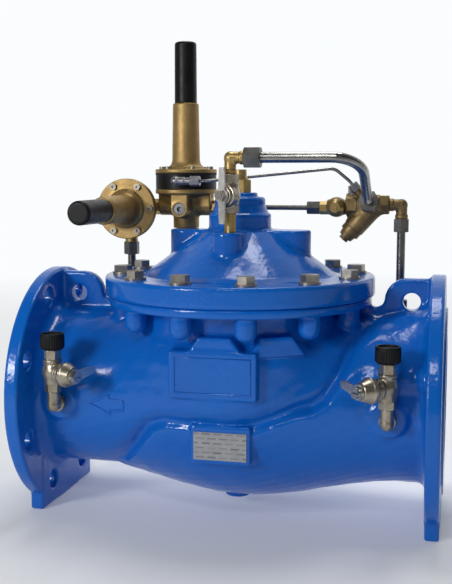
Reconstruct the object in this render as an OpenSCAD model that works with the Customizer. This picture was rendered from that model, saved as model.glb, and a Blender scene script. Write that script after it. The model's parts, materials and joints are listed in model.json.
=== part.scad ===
// Pilot-operated pressure reducing valve with flanged ends.
// Frame: origin at the centre of the inlet sealing face, +X out of the inlet,
// the gauge valves on the -Y side, +Z up. Flow runs from the inlet towards -X.

/* [Main line] */
// Length between the two sealing faces
face_to_face = 480; // [470:5:500]
// Clear bore of the line
bore_d = 150; // [140:1:152]
// Outside diameter of the end flanges
flange_d = 285; // [280:1:290]
// Thickness of the end flanges, with the raised face
flange_t = 19; // [18:0.5:22]
// Diameter of the raised sealing face
raised_d = 211; // [205:1:212]
// Height of the raised sealing face
raised_h = 3; // [2:0.5:4]
// Bolt circle of the end flanges
flange_pcd = 240; // [238:1:242]
// Bolt hole in the inlet flange
inlet_hole_d = 23; // [22:0.5:24]
// Bolt hole in the outlet flange
outlet_hole_d = 22.5; // [22:0.5:24]
// Outside radius of the necks
neck_r = 94; // [92:1:96]
// Height of the flow axis over the feet
axis_height = 140; // [138:1:145]
// Half width of the feet
foot_half = 77; // [70:1:80]

/* [Cover] */
// Level of the joint between body and cover
split_z = 116; // [114:1:118]
// Radius of the cover flange
cover_r = 157.5; // [156:0.5:160]
// Thickness of the cover flange
cover_t = 23.5; // [22:0.5:25]
// Bolt circle radius of the cover
cover_pcr = 137; // [135:0.5:138]
// Height of the four cover bosses over the flow axis
boss_top = 191; // [188:1:193]
// Top of the cover tower
tower_top = 234; // [233:0.5:236]

/* [Control circuit] */
// Distance of the control line behind the flow axis
circuit_y = 60; // [58:1:62]
// Level of the control line
circuit_z = 215; // [214:0.5:216]
// Position of the reducing pilot along the pipe
pilot_x = -82; // [-84:1:-80]
// Position of the relief pilot along the pipe
relief_x = -145.5; // [-147:0.5:-144]
// Radius of the pilot flanges
pilot_r = 38; // [36:0.5:39]
// Position of the chamber valve in front of the flow axis
chamber_y = -58; // [-60:1:-56]
// Position of the chamber valve along the pipe
chamber_x = 1.5; // [0:0.5:3]
// Level of the pipe that leaves the chamber valve
chamber_pipe_z = 273; // [270:1:276]
// Radius of the chamber pipe
chamber_pipe_r = 6; // [5:0.5:7]

/* [Gauge valves] */
// Distance of the gauge valves in front of the flow axis
gauge_y = -115; // [-118:1:-113]
// Outlet gauge valve along the pipe
outlet_gauge_x = -189; // [-192:1:-186]
// Inlet gauge valve along the pipe
inlet_gauge_x = 181.5; // [178:0.5:184]
// Turn of the outlet valve's spindle from the front
outlet_spindle_turn = 61; // [55:1:65]
// Turn of the inlet valve's spindle from the front
inlet_spindle_turn = -45; // [-50:1:-40]
// Upward tilt of the gauge levers
lever_tilt = 10; // [0:1:15]

/* [Hidden] */
$fn = 64;

blue = "#1661bd";
brass = "#b08a45";
nickel = "#b3aa90";
steel = "#9a9a98";
black = "#1b1b1d";
rubber = "#262626";

mid_x = -face_to_face / 2;
bore_r = bore_d / 2;
flange_back = face_to_face / 2 - flange_t;
cover_top = split_z + cover_t;
fit = 0.05;

// Main valve levels
seat_hole_r = 64;
seat_face_z = 17;
disc_r = 66;
disc_z = 23;
disc_top = 34;
hub_split_z = 60;
plate_z = 96;
diaphragm_t = 5;
plate_r = 78;
clamp_r = 126;
ceiling_z = 172;
stem_r = 10;
bush_r = 12.5;
belly_centre = 10;
belly_half = 190;
belly_bulge = 27;
body_wall = 18;
partition_half = 7;
cover_bolt_r = 6;
cover_bolt_angle = 15;
washer_t = 2.5;

// Pilot levels over the port plane, the same in both pilots
split_h = 41.5;
bonnet_flange_t = 5;
column_top = 127;
cap_end = 200.5;
seat_low = 98;
seat_high = 104;
adjuster_r = 4;
cap_r = 13.7;
screw_circle = 30.5;
ring_low = 22;
diaphragm_low = 39.5;

// Strainer and supply side
strainer_x = 151;
strainer_left = 117;
strainer_right = 168;
strainer_z = 219;
leg_angle = 48;
leg_len = 56;
supply_x = 182.5;
outlet_pipe_x = -154;
branch_r = 5;
needle_x = 105.5;
front_port_x = 146;
front_port_tilt = 10;
plug_x = 124.2;
sense_boss = 15;

// Chamber valve
chamber_valve_z = 231.5;
chamber_turn = -20;

// Gauge valve levels over the flow axis
gauge_port_z = -3;
gauge_axis_z = 35;
gauge_top_z = 61;
stub_top_z = 74;

function unit(v) = v / norm(v);
function side(d) = unit(cross(abs(d.z) < 0.9 ? [0, 0, 1] : [1, 0, 0], d));
function turn(a, b, c) = acos(unit(b - a) * unit(c - b));
function belly_r(s) = abs(s - belly_centre) > belly_half ? neck_r
    : neck_r + belly_bulge * (1 + cos(180 * (s - belly_centre) / belly_half)) / 2;

module at_mid() translate([mid_x, 0, 0]) children();
module along_x() rotate([0, 90, 0]) children();
module to_front() rotate([90, 0, 0]) children();
module hex(af, h) cylinder(d = af / cos(30), h = h, $fn = 6);
module ring(outer, inner, h) difference() {
    cylinder(r = outer, h = h);
    translate([0, 0, -1]) cylinder(r = inner, h = h + 2);
}

// Points the local Z axis along d, with its origin at p
module aim(p, d) {
    z = unit(d);
    x = side(z);
    y = cross(z, x);
    multmatrix([[x.x, y.x, z.x, p.x], [x.y, y.y, z.y, p.y], [x.z, y.z, z.z, p.z], [0, 0, 0, 1]])
        children();
}

// Points of a route with its corners rounded to the bend radius
function arc_points(a, b, c, bend) =
    let (u = unit(b - a), v = unit(c - b), n = unit(v - (u * v) * u), full = turn(a, b, c),
        o = b - u * bend * tan(full / 2) + n * bend, steps = ceil(full / 9))
    [for (k = [0:steps]) let (t = full * k / steps) o + bend * (u * sin(t) - n * cos(t))];
function route(pts, bend, extra) = let (last = len(pts) - 1) concat(
    [pts[0] + extra * unit(pts[0] - pts[1])],
    [for (i = [1:last - 1]) each arc_points(pts[i - 1], pts[i], pts[i + 1], bend)],
    [pts[last] + extra * unit(pts[last] - pts[last - 1])]);
function heading(line, i) = let (last = len(line) - 1)
    unit(i == 0 ? line[1] - line[0] : i == last ? line[last] - line[last - 1]
        : unit(line[i + 1] - line[i]) + unit(line[i] - line[i - 1]));

// Round bar swept along a line of points; up is never parallel to the line
module sweep(line, r, up) {
    sides = 20;
    last = len(line) - 1;
    points = [for (i = [0:last])
        let (d = heading(line, i), x = unit(cross(up, d)), y = cross(d, x))
        for (j = [0:sides - 1]) let (a = j * 360 / sides) line[i] + r * (x * cos(a) + y * sin(a))];
    walls = [for (i = [0:last - 1]) for (j = [0:sides - 1]) let (k = (j + 1) % sides)
        [i * sides + j, (i + 1) * sides + j, (i + 1) * sides + k, i * sides + k]];
    polyhedron(points, concat(walls, [[for (j = [0:sides - 1]) j],
        [for (j = [sides - 1:-1:0]) last * sides + j]]), convexity = 10);
}

module bent_tube(pts, r, wall, bend, up) difference() {
    sweep(route(pts, bend, 0), r, up);
    sweep(route(pts, bend, 1), r - wall, up);
}

module straight_tube(a, b, r, wall) aim(a, b - a) difference() {
    cylinder(r = r, h = norm(b - a));
    translate([0, 0, -1]) cylinder(r = r - wall, h = norm(b - a) + 2);
}

// Round-wire compression spring, swept along a helix
module coil(mean_r, wire_r, low, high, turns) {
    sides = 8;
    steps = turns * 20;
    z0 = low + wire_r;
    rise = (high - low - 2 * wire_r) / steps;
    points = [for (i = [0:steps]) for (j = [0:sides - 1])
        let (a = i * 18, b = j * 360 / sides, r = mean_r + wire_r * cos(b))
        [r * cos(a), r * sin(a), z0 + i * rise + wire_r * sin(b)]];
    walls = [for (i = [0:steps - 1]) for (j = [0:sides - 1]) let (k = (j + 1) % sides)
        [i * sides + j, (i + 1) * sides + j, (i + 1) * sides + k, i * sides + k]];
    polyhedron(points, concat(walls, [[for (j = [0:sides - 1]) j],
        [for (j = [sides - 1:-1:0]) steps * sides + j]]), convexity = 10);
}

// ---- Main valve ----

module end_flange(hole_d) along_x() difference() {
    union() {
        translate([0, 0, flange_back]) cylinder(d = flange_d, h = flange_t - raised_h);
        translate([0, 0, flange_back]) cylinder(d = raised_d, h = flange_t);
        translate([0, 0, flange_back - 8]) cylinder(r1 = neck_r, r2 = neck_r + 8, h = 8.5);
        translate([axis_height - 60, -foot_half, flange_back])
            cube([60, 2 * foot_half, flange_t - raised_h]);
    }
    for (k = [0:7]) rotate(22.5 + 45 * k) translate([flange_pcd / 2, 0, flange_back - 1])
        cylinder(d = hole_d, h = flange_t + 2);
}

module lifting_lug() {
    lug_x = 194;
    lug_z = 113;
    lug_r = 25;
    translate([0, 7, 0]) to_front() linear_extrude(14) difference() {
        polygon(concat(
            [[flange_back + 1, 80], [flange_back + 1, lug_z + lug_r]],
            [for (a = [90:15:180]) [lug_x + lug_r * cos(a), lug_z + lug_r * sin(a)]],
            [[lug_x - lug_r, 104], [150, 104], [150, 80]]));
        translate([199.5, 112]) circle(d = 20);
    }
}

module barrel(shrink, low, high) {
    step = (high - low) / 16;
    along_x() rotate_extrude() polygon(concat([[0, low]],
        [for (i = [0:16]) [belly_r(low + step * i) - shrink, low + step * i]], [[0, high]]));
}

module body_outside() {
    along_x() translate([0, 0, -flange_back - 1]) cylinder(r = neck_r, h = 2 * flange_back + 2);
    barrel(0, -178, 198);
    rotate_extrude() polygon([[0, -70], [70, -62], [105, -35], [122, 0], [130, 40], [130, 64],
        [119, 82], [119, 96], [127, 104], [154, 106], [154, split_z], [0, split_z]]);
    for (s = [0, 1]) mirror([s, 0, 0]) {
        end_flange(s > 0 ? outlet_hole_d : inlet_hole_d);
        lifting_lug();
    }
    for (k = [0:11]) rotate(cover_bolt_angle + 30 * k) translate([cover_pcr, 0, 91]) {
        cylinder(r = 12, h = 16);
        sphere(r = 12);
    }
    translate([-50, -132, 16]) cube([97, 60, 52]);
    translate([0, -90, 0]) to_front() linear_extrude(41)
        polygon([[-32, 64], [-17, 83], [18, 83], [33, 64]]);
    translate([-28, -121, -57]) cube([66, 60, 43]);
    translate([-2, 0, -126]) cylinder(r = 15, h = 20);
    for (x = [outlet_gauge_x, inlet_gauge_x]) translate([x, -98, gauge_port_z])
        rotate([-90, 0, 0]) cylinder(r = 19, h = 20);
    for (x = [outlet_pipe_x, supply_x]) translate([x, circuit_y, 40]) cylinder(r = 13, h = 38);
}

module upper_chamber() intersection() {
    translate([0, 150, 0]) to_front() linear_extrude(300)
        polygon([[-260, -90], [-150, -76], [-86, partition_half], [86, partition_half],
            [128, 60], [128, 130], [-260, 130]]);
    union() {
        along_x() translate([0, 0, -250]) cylinder(r = bore_r, h = 250);
        translate([0, 0, -20]) cylinder(r = 106, h = split_z + 30);
    }
}

module lower_chamber() intersection() {
    translate([0, 150, 0]) to_front() linear_extrude(300)
        polygon([[260, -130], [-136, -130], [-118, -76], [-80, -partition_half],
            [90, -partition_half], [160, 76], [260, 90]]);
    union() {
        along_x() cylinder(r = bore_r, h = 250);
        barrel(body_wall, -140, 150);
    }
}

module valve_body() color(blue) at_mid() difference() {
    body_outside();
    upper_chamber();
    lower_chamber();
    translate([0, 0, -20]) cylinder(r = seat_hole_r, h = 40);
    for (k = [0:11]) rotate(cover_bolt_angle + 30 * k) translate([cover_pcr, 0, 86])
        cylinder(r = cover_bolt_r, h = 40);
    for (x = [outlet_gauge_x, inlet_gauge_x]) translate([x, -99, gauge_port_z])
        rotate([-90, 0, 0]) cylinder(r = 6, h = 30);
    for (x = [outlet_pipe_x, supply_x]) {
        translate([x, circuit_y, 30]) cylinder(r = 6, h = 60);
        translate([x, circuit_y, 78]) cylinder(r = 11, h = 12);
    }
    translate([-face_to_face / 2, -flange_d / 2, -axis_height - 20])
        cube([face_to_face, flange_d, 20]);
}

module seat_ring() color(nickel) at_mid() difference() {
    union() {
        rotate_extrude() polygon([[57, -partition_half], [seat_hole_r, -partition_half],
            [seat_hole_r, partition_half], [72, partition_half], [72, 13], [61, 13],
            [61, seat_face_z], [57, seat_face_z]]);
        translate([0, 0, -partition_half]) cylinder(r = 18, h = 2 * partition_half);
        for (a = [0, 120, 240]) rotate(a) translate([14, -5, -partition_half + 1])
            cube([45, 10, 2 * partition_half - 2]);
    }
    translate([0, 0, -20]) cylinder(r = bush_r, h = 60);
}

module guide_bushes() color(brass) at_mid() {
    translate([0, 0, -partition_half]) ring(bush_r, stem_r + fit, 2 * partition_half);
    translate([0, 0, ceiling_z]) ring(bush_r, stem_r + fit, 20);
}

module main_stem() color(steel) at_mid() translate([0, 0, -60]) cylinder(r = stem_r, h = 248);

module valve_disc() color(nickel) at_mid() difference() {
    union() {
        translate([0, 0, disc_z]) cylinder(r = disc_r, h = disc_top - disc_z);
        translate([0, 0, disc_z]) cylinder(r = 20, h = hub_split_z - disc_z);
    }
    cylinder(r = stem_r, h = 100);
}

module disc_seal() color(rubber) at_mid() translate([0, 0, seat_face_z])
    ring(disc_r, 50, disc_z - seat_face_z);

module disc_retainer() color(steel) at_mid() translate([0, 0, 11])
    ring(50, stem_r, disc_z - 11);

module lower_diaphragm_plate() color(steel) at_mid() difference() {
    union() {
        translate([0, 0, hub_split_z]) cylinder(r = 20, h = plate_z - hub_split_z);
        translate([0, 0, plate_z - 8]) cylinder(r = plate_r, h = 8);
    }
    cylinder(r = stem_r, h = 120);
}

module main_diaphragm() color(rubber) at_mid() rotate_extrude() polygon([
    [stem_r, plate_z], [plate_r + 3, plate_z], [103, split_z], [clamp_r, split_z],
    [clamp_r, split_z + diaphragm_t], [100, split_z + diaphragm_t],
    [plate_r, plate_z + diaphragm_t], [stem_r, plate_z + diaphragm_t]]);

module upper_diaphragm_plate() color(steel) at_mid()
    translate([0, 0, plate_z + diaphragm_t]) ring(plate_r, stem_r, 7);

module stem_nut() color(steel) at_mid() translate([0, 0, plate_z + diaphragm_t + 7]) difference() {
    hex(36, 16);
    translate([0, 0, -1]) cylinder(r = stem_r, h = 20);
}

module main_spring() color(steel) at_mid()
    coil(40, 4, plate_z + diaphragm_t + 7.1, ceiling_z - 0.1, 5);

module cover() color(blue) at_mid() difference() {
    union() {
        rotate_extrude() polygon([[0, split_z], [cover_r, split_z], [cover_r, cover_top - 2],
            [cover_r - 2, cover_top], [113, cover_top], [38, 197], [36.3, 197], [36.3, 209],
            [30, 218], [29.5, 227.5], [22, 231], [20.3, 231], [20.3, tower_top], [0, tower_top]]);
        for (a = [0:90:270]) rotate(a) translate([63, 0, cover_top])
            cylinder(r = 21, h = boss_top - cover_top);
    }
    rotate_extrude() polygon([[0, split_z - 1], [clamp_r, split_z - 1],
        [clamp_r, split_z + diaphragm_t], [106, split_z + diaphragm_t], [106, 126],
        [56, ceiling_z], [bush_r, ceiling_z], [bush_r, ceiling_z + 20],
        [stem_r + 2, ceiling_z + 20], [stem_r + 2, 227], [0, 227]]);
    translate([0, 0, 220]) cylinder(r = 6.5, h = 20);
    translate([chamber_x, chamber_y, 130]) cylinder(r = 6.7, h = 80);
    for (k = [0:11]) rotate(cover_bolt_angle + 30 * k) translate([cover_pcr, 0, split_z - 1])
        cylinder(r = 7, h = cover_t + 2);
}

module cover_bolts() color(steel) at_mid()
    for (k = [0:11]) rotate(cover_bolt_angle + 30 * k) translate([cover_pcr, 0, 0]) {
        translate([0, 0, cover_top]) ring(12, 6.2, washer_t);
        translate([0, 0, cover_top + washer_t]) hex(18, 7.5);
        translate([0, 0, 90]) cylinder(r = cover_bolt_r - fit, h = cover_top + washer_t - 90);
    }

module vent_plug() color(brass) at_mid() {
    translate([0, 0, tower_top - 7]) cylinder(r = 6.4, h = 7.5);
    translate([0, 0, tower_top]) hex(22, 14.5);
    translate([0, 0, tower_top + 14.5]) cylinder(r1 = 10.5, r2 = 7.5, h = 5);
    translate([0, 0, tower_top + 19.5]) cylinder(r = 7.5, h = 7);
}

module name_plate() color("#c9cacb") at_mid() translate([-24.5, -122, -52])
    cube([58.5, 1, 30.5]);

// ---- Gauge valves ----

module at_gauge(x) at_mid() translate([x, gauge_y, 0]) children();
module on_spindle(angle) translate([0, 0, gauge_axis_z]) rotate(angle) to_front() children();

module gauge_elbow() translate([0, 0, gauge_port_z]) difference() {
    union() {
        cylinder(r = 7, h = 13 - gauge_port_z);
        sphere(r = 7.6);
        rotate([-90, 0, 0]) cylinder(r = 7, h = 8);
        rotate([-90, 0, 0]) cylinder(r = 6, h = 30);
        translate([0, 7, 0]) rotate([-90, 0, 0]) cylinder(r = 9.2, h = 10);
    }
    cylinder(r = 3, h = 20);
    rotate([-90, 0, 0]) cylinder(r = 3, h = 31);
}

module gauge_elbows() color(nickel)
    for (x = [outlet_gauge_x, inlet_gauge_x]) at_gauge(x) gauge_elbow();

module gauge_body(angle) difference() {
    union() {
        translate([0, 0, 13]) hex(17, 12);
        translate([0, 0, 24]) cylinder(r = 9.5, h = gauge_top_z - 34);
        translate([0, 0, gauge_top_z - 11]) hex(17, 11);
        translate([0, 0, gauge_top_z - 1]) cylinder(r = 8, h = stub_top_z - gauge_top_z + 1);
        on_spindle(angle) {
            cylinder(r = 8.5, h = 30);
            translate([0, 0, 23]) cylinder(r = 14, h = 7);
            translate([0, 0, 29.9]) cylinder(r1 = 12.5, r2 = 9.5, h = 7);
        }
    }
    translate([0, 0, 10]) cylinder(r = 3.4, h = 80);
    translate([0, 0, gauge_axis_z]) sphere(r = 7);
    on_spindle(angle) cylinder(r = 4, h = 40);
}

module gauge_bodies() color(nickel) {
    at_gauge(outlet_gauge_x) gauge_body(outlet_spindle_turn);
    at_gauge(inlet_gauge_x) gauge_body(inlet_spindle_turn);
}

module gauge_stem(x, angle) color(steel) at_gauge(x) difference() {
    on_spindle(angle) {
        sphere(r = 6.95);
        cylinder(r = 4 - fit, h = 40.5);
        translate([0, 0, 40.2]) difference() {
            cylinder(r = 6, h = 4);
            translate([-7, -0.8, 2.2]) cube([14, 1.6, 3]);
        }
    }
    translate([0, 0, 10]) cylinder(r = 3.4, h = 60);
}

module gauge_lever(x, angle, hand) color(steel) at_gauge(x) on_spindle(angle)
    translate([0, 0, 37.2]) rotate(hand > 0 ? lever_tilt : 180 - lever_tilt) difference() {
        linear_extrude(3) union() {
            circle(r = 8);
            polygon([[0, -6], [26, -4], [28, -2], [28, 2], [26, 4], [0, 6]]);
        }
        translate([0, 0, -1]) cylinder(r = 4, h = 5);
    }

module gauge_cap(x) color(black) at_gauge(x) translate([0, 0, gauge_top_z]) difference() {
    cylinder(r = 13.5, h = 18);
    translate([0, 0, -1]) cylinder(r = 8.3, h = stub_top_z - gauge_top_z + 2);
    translate([0, 0, 16]) cylinder(r = 10.5, h = 3);
}

module outlet_gauge_stem() gauge_stem(outlet_gauge_x, outlet_spindle_turn);
module outlet_gauge_lever() gauge_lever(outlet_gauge_x, outlet_spindle_turn, 1);
module outlet_gauge_cap() gauge_cap(outlet_gauge_x);
module inlet_gauge_stem() gauge_stem(inlet_gauge_x, inlet_spindle_turn);
module inlet_gauge_lever() gauge_lever(inlet_gauge_x, inlet_spindle_turn, -1);
module inlet_gauge_cap() gauge_cap(inlet_gauge_x);

// ---- Chamber isolating valve ----

module at_chamber() at_mid() translate([chamber_x, chamber_y, 0]) children();
module on_chamber_stem() translate([0, 0, chamber_valve_z]) rotate(chamber_turn) to_front()
    children();

module chamber_nipple() color(steel) at_chamber() translate([0, 0, 172])
    ring(6.7, 4, 40);

module chamber_valve_body() color(nickel) at_chamber() difference() {
    union() {
        translate([0, 0, 212]) hex(17, 10);
        translate([0, 0, 221]) cylinder(r = 10, h = 24);
        translate([0, 0, 244]) hex(17, 11);
        on_chamber_stem() cylinder(r = 13, h = 15);
    }
    translate([0, 0, 205]) cylinder(r = 4.5, h = 60);
    translate([0, 0, chamber_valve_z]) sphere(r = 8);
    on_chamber_stem() cylinder(r = 4, h = 30);
}

module chamber_ball() color(steel) at_chamber() difference() {
    on_chamber_stem() {
        sphere(r = 7.95);
        cylinder(r = 4 - fit, h = 24);
    }
    translate([0, 0, 200]) cylinder(r = 4.5, h = 60);
}

module chamber_handle() color("#c4c2be") at_chamber() on_chamber_stem()
    translate([0, 0, 15.4]) difference() {
        linear_extrude(2.6) union() {
            circle(r = 8);
            polygon([[-3, -31], [3, -31], [4, -12], [4.5, 0], [4, 12], [3, 31], [-3, 31],
                [-4, 12], [-4.5, 0], [-4, -12]]);
        }
        translate([0, 0, -1]) cylinder(r = 4, h = 5);
    }

module chamber_handle_nut() color(steel) at_chamber() on_chamber_stem()
    translate([0, 0, 18]) difference() {
        hex(11, 5);
        translate([0, 0, -1]) cylinder(r = 4, h = 8);
    }

// ---- Pipework ----

module elbow(p, d1, len1, d2, len2, r) difference() {
    union() {
        aim(p, d1) cylinder(r = r, h = len1);
        aim(p, d2) cylinder(r = r, h = len2);
        translate(p) sphere(r = r + 0.4);
    }
    aim(p, d1) cylinder(r = r - 3, h = len1 + 1);
    aim(p, d2) cylinder(r = r - 3, h = len2 + 1);
}

module pipe_elbows() color(brass) at_mid() {
    elbow([chamber_x, chamber_y, chamber_pipe_z], [0, 0, -1], chamber_pipe_z - 255,
        [1, 0, 0], 16, 6.6);
    elbow([supply_x, circuit_y, strainer_z], [-1, 0, 0], supply_x - strainer_right,
        [0, 0, -1], 16.6, 6.6);
}

front_port_dir = [0, -cos(front_port_tilt), sin(front_port_tilt)];
front_port_centre = [front_port_x, circuit_y, strainer_z];
chamber_pipe_end = front_port_centre + 20 * front_port_dir;

module chamber_pipe() color(steel) at_mid() bent_tube([
    [chamber_x + 16, chamber_y, chamber_pipe_z], [front_port_x, chamber_y, chamber_pipe_z],
    front_port_centre + 46 * front_port_dir, chamber_pipe_end],
    chamber_pipe_r, 1.2, 33, [0, 0.5, 1]);

module pipe_nut(p, d, af, len, hole_r) aim(p, d) difference() {
    intersection() {
        hex(af, len);
        rotate_extrude() polygon([[0, 0], [af / 2, 0], [af * 0.6, af * 0.06],
            [af * 0.6, len - af * 0.06], [af / 2, len], [0, len]]);
    }
    translate([0, 0, -1]) cylinder(r = hole_r, h = len + 2);
}

module pipe_nuts() color(steel) at_mid() {
    pipe_nut([chamber_x + 16, chamber_y, chamber_pipe_z], [1, 0, 0], 22, 18.5, chamber_pipe_r);
    pipe_nut(chamber_pipe_end, front_port_dir, 22, 13, chamber_pipe_r);
    pipe_nut([supply_x, circuit_y, 187], [0, 0, 1], 17, 15.4, branch_r);
    pipe_nut([supply_x, circuit_y, 92], [0, 0, 1], 17, 14, branch_r);
    pipe_nut([outlet_pipe_x, circuit_y, 155], [0, 0, 1], 17, 16, branch_r);
    pipe_nut([outlet_pipe_x, circuit_y, 84], [0, 0, 1], 17, 11, branch_r);
    pipe_nut([70, circuit_y, circuit_z], [1, 0, 0], 15, 15.5, 3);
}

module pipe_connectors() color(brass) at_mid() {
    translate([supply_x, circuit_y, 66]) ring(5.9, 3.5, 12);
    translate([supply_x, circuit_y, 78]) difference() {
        hex(17, 14);
        translate([0, 0, -1]) cylinder(r = 3.5, h = 20);
    }
    translate([outlet_pipe_x, circuit_y, 66]) ring(5.9, 3.5, 12);
    translate([outlet_pipe_x, circuit_y, 78]) difference() {
        hex(17, 6);
        translate([0, 0, -1]) cylinder(r = 3.5, h = 20);
    }
    translate([outlet_pipe_x, circuit_y, 171]) difference() {
        cylinder(r = 8, h = 10);
        translate([0, 0, -1]) cylinder(r = 3.5, h = 20);
    }
    translate([85.5, circuit_y, circuit_z]) along_x() difference() {
        hex(14, 8.7);
        translate([0, 0, -1]) cylinder(r = 2, h = 20);
    }
    translate([pilot_x + 33, circuit_y, circuit_z]) along_x() difference() {
        hex(14, 10);
        translate([0, 0, -1]) cylinder(r = 3, h = 20);
    }
    translate([relief_x + 18, circuit_y, circuit_z]) along_x() difference() {
        hex(17, pilot_x - 33 - relief_x - 18);
        translate([0, 0, -1]) cylinder(r = 4, h = 20);
    }
}

module branch_pipes() color(steel) at_mid() {
    straight_tube([supply_x, circuit_y, 92], [supply_x, circuit_y, 202.4], branch_r, 1);
    straight_tube([outlet_pipe_x, circuit_y, 84], [outlet_pipe_x, circuit_y, 171], branch_r, 1);
}

module feed_tube() color("#5c5c5a") at_mid()
    straight_tube([pilot_x + 43, circuit_y, circuit_z], [85.5, circuit_y, circuit_z], 3, 0.8);

leg_dir = [-cos(leg_angle), 0, -sin(leg_angle)];
leg_start = [strainer_x, circuit_y, strainer_z];
sense_dir = [-cos(50), 0, sin(50)];
sense_port = [141, circuit_y - 12, strainer_z + 5];

module strainer_body() color(brass) at_mid() difference() {
    union() {
        translate([strainer_left, circuit_y, strainer_z]) along_x() rotate(30) hex(24, 13);
        translate([strainer_left + 12, circuit_y, strainer_z]) along_x() cylinder(r = 12, h = 28);
        translate([strainer_right - 12, circuit_y, strainer_z]) along_x() hex(22, 12);
        aim(leg_start, leg_dir) cylinder(r = 13, h = 38);
        translate([plug_x, circuit_y, strainer_z]) cylinder(r = 7, h = 12);
        aim(front_port_centre, front_port_dir) cylinder(r = 10, h = 20);
        aim(sense_port, sense_dir) cylinder(r = 5, h = sense_boss);
    }
    translate([strainer_left - 1, circuit_y, strainer_z]) along_x() cylinder(r = 5, h = 60);
    aim(leg_start, leg_dir) cylinder(r = 9.5, h = 39);
    aim(front_port_centre, front_port_dir) cylinder(r = 4.8, h = 21);
    aim(sense_port, sense_dir) cylinder(r = 1.5, h = sense_boss + 1);
    translate([plug_x, circuit_y, strainer_z]) cylinder(r = 4.5, h = 13);
}

module strainer_cap() color(brass) at_mid() aim(leg_start, leg_dir) {
    translate([0, 0, 30]) cylinder(r = 9.4, h = 8.5);
    translate([0, 0, 38]) cylinder(r = 12, h = 7);
    translate([0, 0, 45]) cylinder(r1 = 10, r2 = 8.5, h = 7);
    translate([0, 0, 52]) hex(11, leg_len - 52);
}

module strainer_screen() color("#8a8d90") at_mid() difference() {
    aim(leg_start + 8 * leg_dir, leg_dir) ring(8.4, 7.6, 22);
    for (h = [12:4:26]) for (a = [0:60:120]) aim(leg_start + h * leg_dir, leg_dir) rotate(a)
        translate([-10, 0, 0]) along_x() cylinder(r = 1.2, h = 20);
}

module needle_valve_body() color(brass) at_mid() difference() {
    union() {
        translate([94.2, circuit_y, circuit_z + 1]) along_x() cylinder(r = 9, h = 22.8);
        translate([needle_x, circuit_y + 10, circuit_z + 1]) to_front() cylinder(r = 11.2, h = 24);
    }
    translate([93, circuit_y, circuit_z + 1]) along_x() cylinder(r = 3, h = 30);
    translate([needle_x, circuit_y, circuit_z + 1]) to_front() cylinder(r = 6, h = 20);
}

module needle_screw() color(brass) at_mid() translate([needle_x, circuit_y, circuit_z + 1])
    to_front() {
        translate([0, 0, 3.2]) cylinder(r1 = 1, r2 = 6 - fit, h = 6);
        translate([0, 0, 9.2]) cylinder(r = 6 - fit, h = 6);
        translate([0, 0, 14.3]) cylinder(r = 10, h = 3);
        translate([0, 0, 17.3]) cylinder(r1 = 10, r2 = 6, h = 4);
        translate([0, 0, 21.3]) hex(6, 2);
    }

sense_start = [-52, 12, 247];
sense_rise = [104, 46, 262];
sense_end = sense_port + sense_boss * sense_dir;

module sensing_tube() color(steel) at_mid()
    bent_tube([sense_start + [-8, 0, 0], sense_start + [8, 0, 0], sense_rise,
        sense_end + 16 * sense_dir, sense_end], 2, 0.6, 14, [0, 1, 0.3]);

module sensing_fittings() color(steel) at_mid() {
    difference() {
        union() {
            translate([pilot_x, circuit_y - pilot_r + 4, 247]) to_front() cylinder(r = 5, h = 16);
            translate([pilot_x - 5.5, 6.5, 241.5]) cube(11);
            translate([pilot_x + 5, 12, 247]) along_x() cylinder(r = 5, h = 7);
        }
        translate([pilot_x, circuit_y - pilot_r + 5, 247]) to_front() cylinder(r = 2.6, h = 17);
        translate([pilot_x, 12, 247]) along_x() cylinder(r = 2, h = 14);
    }
    translate([pilot_x + 12, 12, 247]) along_x() ring(4.4, 2, 6);
    pipe_nut([pilot_x + 18, 12, 247], [1, 0, 0], 11, 12.5, 2);
    pipe_nut(sense_end, sense_dir, 11, 10, 2);
}

module port_plugs() color("#6d6658") at_mid() {
    translate([pilot_x, circuit_y - 25, circuit_z - 2]) to_front() difference() {
        cylinder(r = 6.9, h = 7);
        translate([0, 0, 3]) hex(6, 5);
    }
    translate([pilot_x, circuit_y, 189]) difference() {
        cylinder(r = 9, h = 8);
        translate([0, 0, -1]) hex(8, 5);
    }
    translate([plug_x, circuit_y, strainer_z + 8]) cylinder(r = 4.4, h = 4);
    translate([plug_x, circuit_y, strainer_z + 12]) hex(9, 10.5);
}

// ---- Pilots ----

module at_pilot() at_mid() translate([pilot_x, circuit_y, circuit_z]) children();
module at_relief() at_mid() translate([relief_x, circuit_y, circuit_z - 1.5]) to_front()
    children();

module screw_holes(low, high) for (a = [0:60:300]) rotate(a) translate([screw_circle, 0, low])
    cylinder(r = 2.6, h = high - low);

module bonnet(flange_r) difference() {
    union() {
        translate([0, 0, split_h]) cylinder(r = flange_r, h = bonnet_flange_t);
        translate([0, 0, split_h + bonnet_flange_t]) cylinder(r1 = 24, r2 = 17.3, h = 6);
        translate([0, 0, split_h + bonnet_flange_t]) cylinder(r1 = 17.3, r2 = 16, h = 77);
        translate([0, 0, split_h + bonnet_flange_t + 77]) cylinder(r1 = 16, r2 = 13, h = 3.5);
        translate([0, 0, column_top - 1]) cylinder(r = 9, h = 9);
    }
    translate([0, 0, split_h - 1]) cylinder(r = 20, h = 6.5);
    translate([0, 0, split_h - 1]) cylinder(r = 12, h = 76);
    translate([0, 0, column_top - 20]) cylinder(r = adjuster_r + fit, h = 40);
    screw_holes(split_h - 1, split_h + 20);
}

module spring_seat() difference() {
    translate([0, 0, seat_low]) cylinder(r = 11.4, h = seat_high - seat_low);
    translate([0, 0, seat_high - 2]) cylinder(r = adjuster_r + fit, h = 4);
}

module adjuster() difference() {
    translate([0, 0, seat_high - 2]) cylinder(r = adjuster_r, h = 48);
    translate([-6, -0.7, seat_high + 43.5]) cube([12, 1.4, 4]);
}

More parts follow.
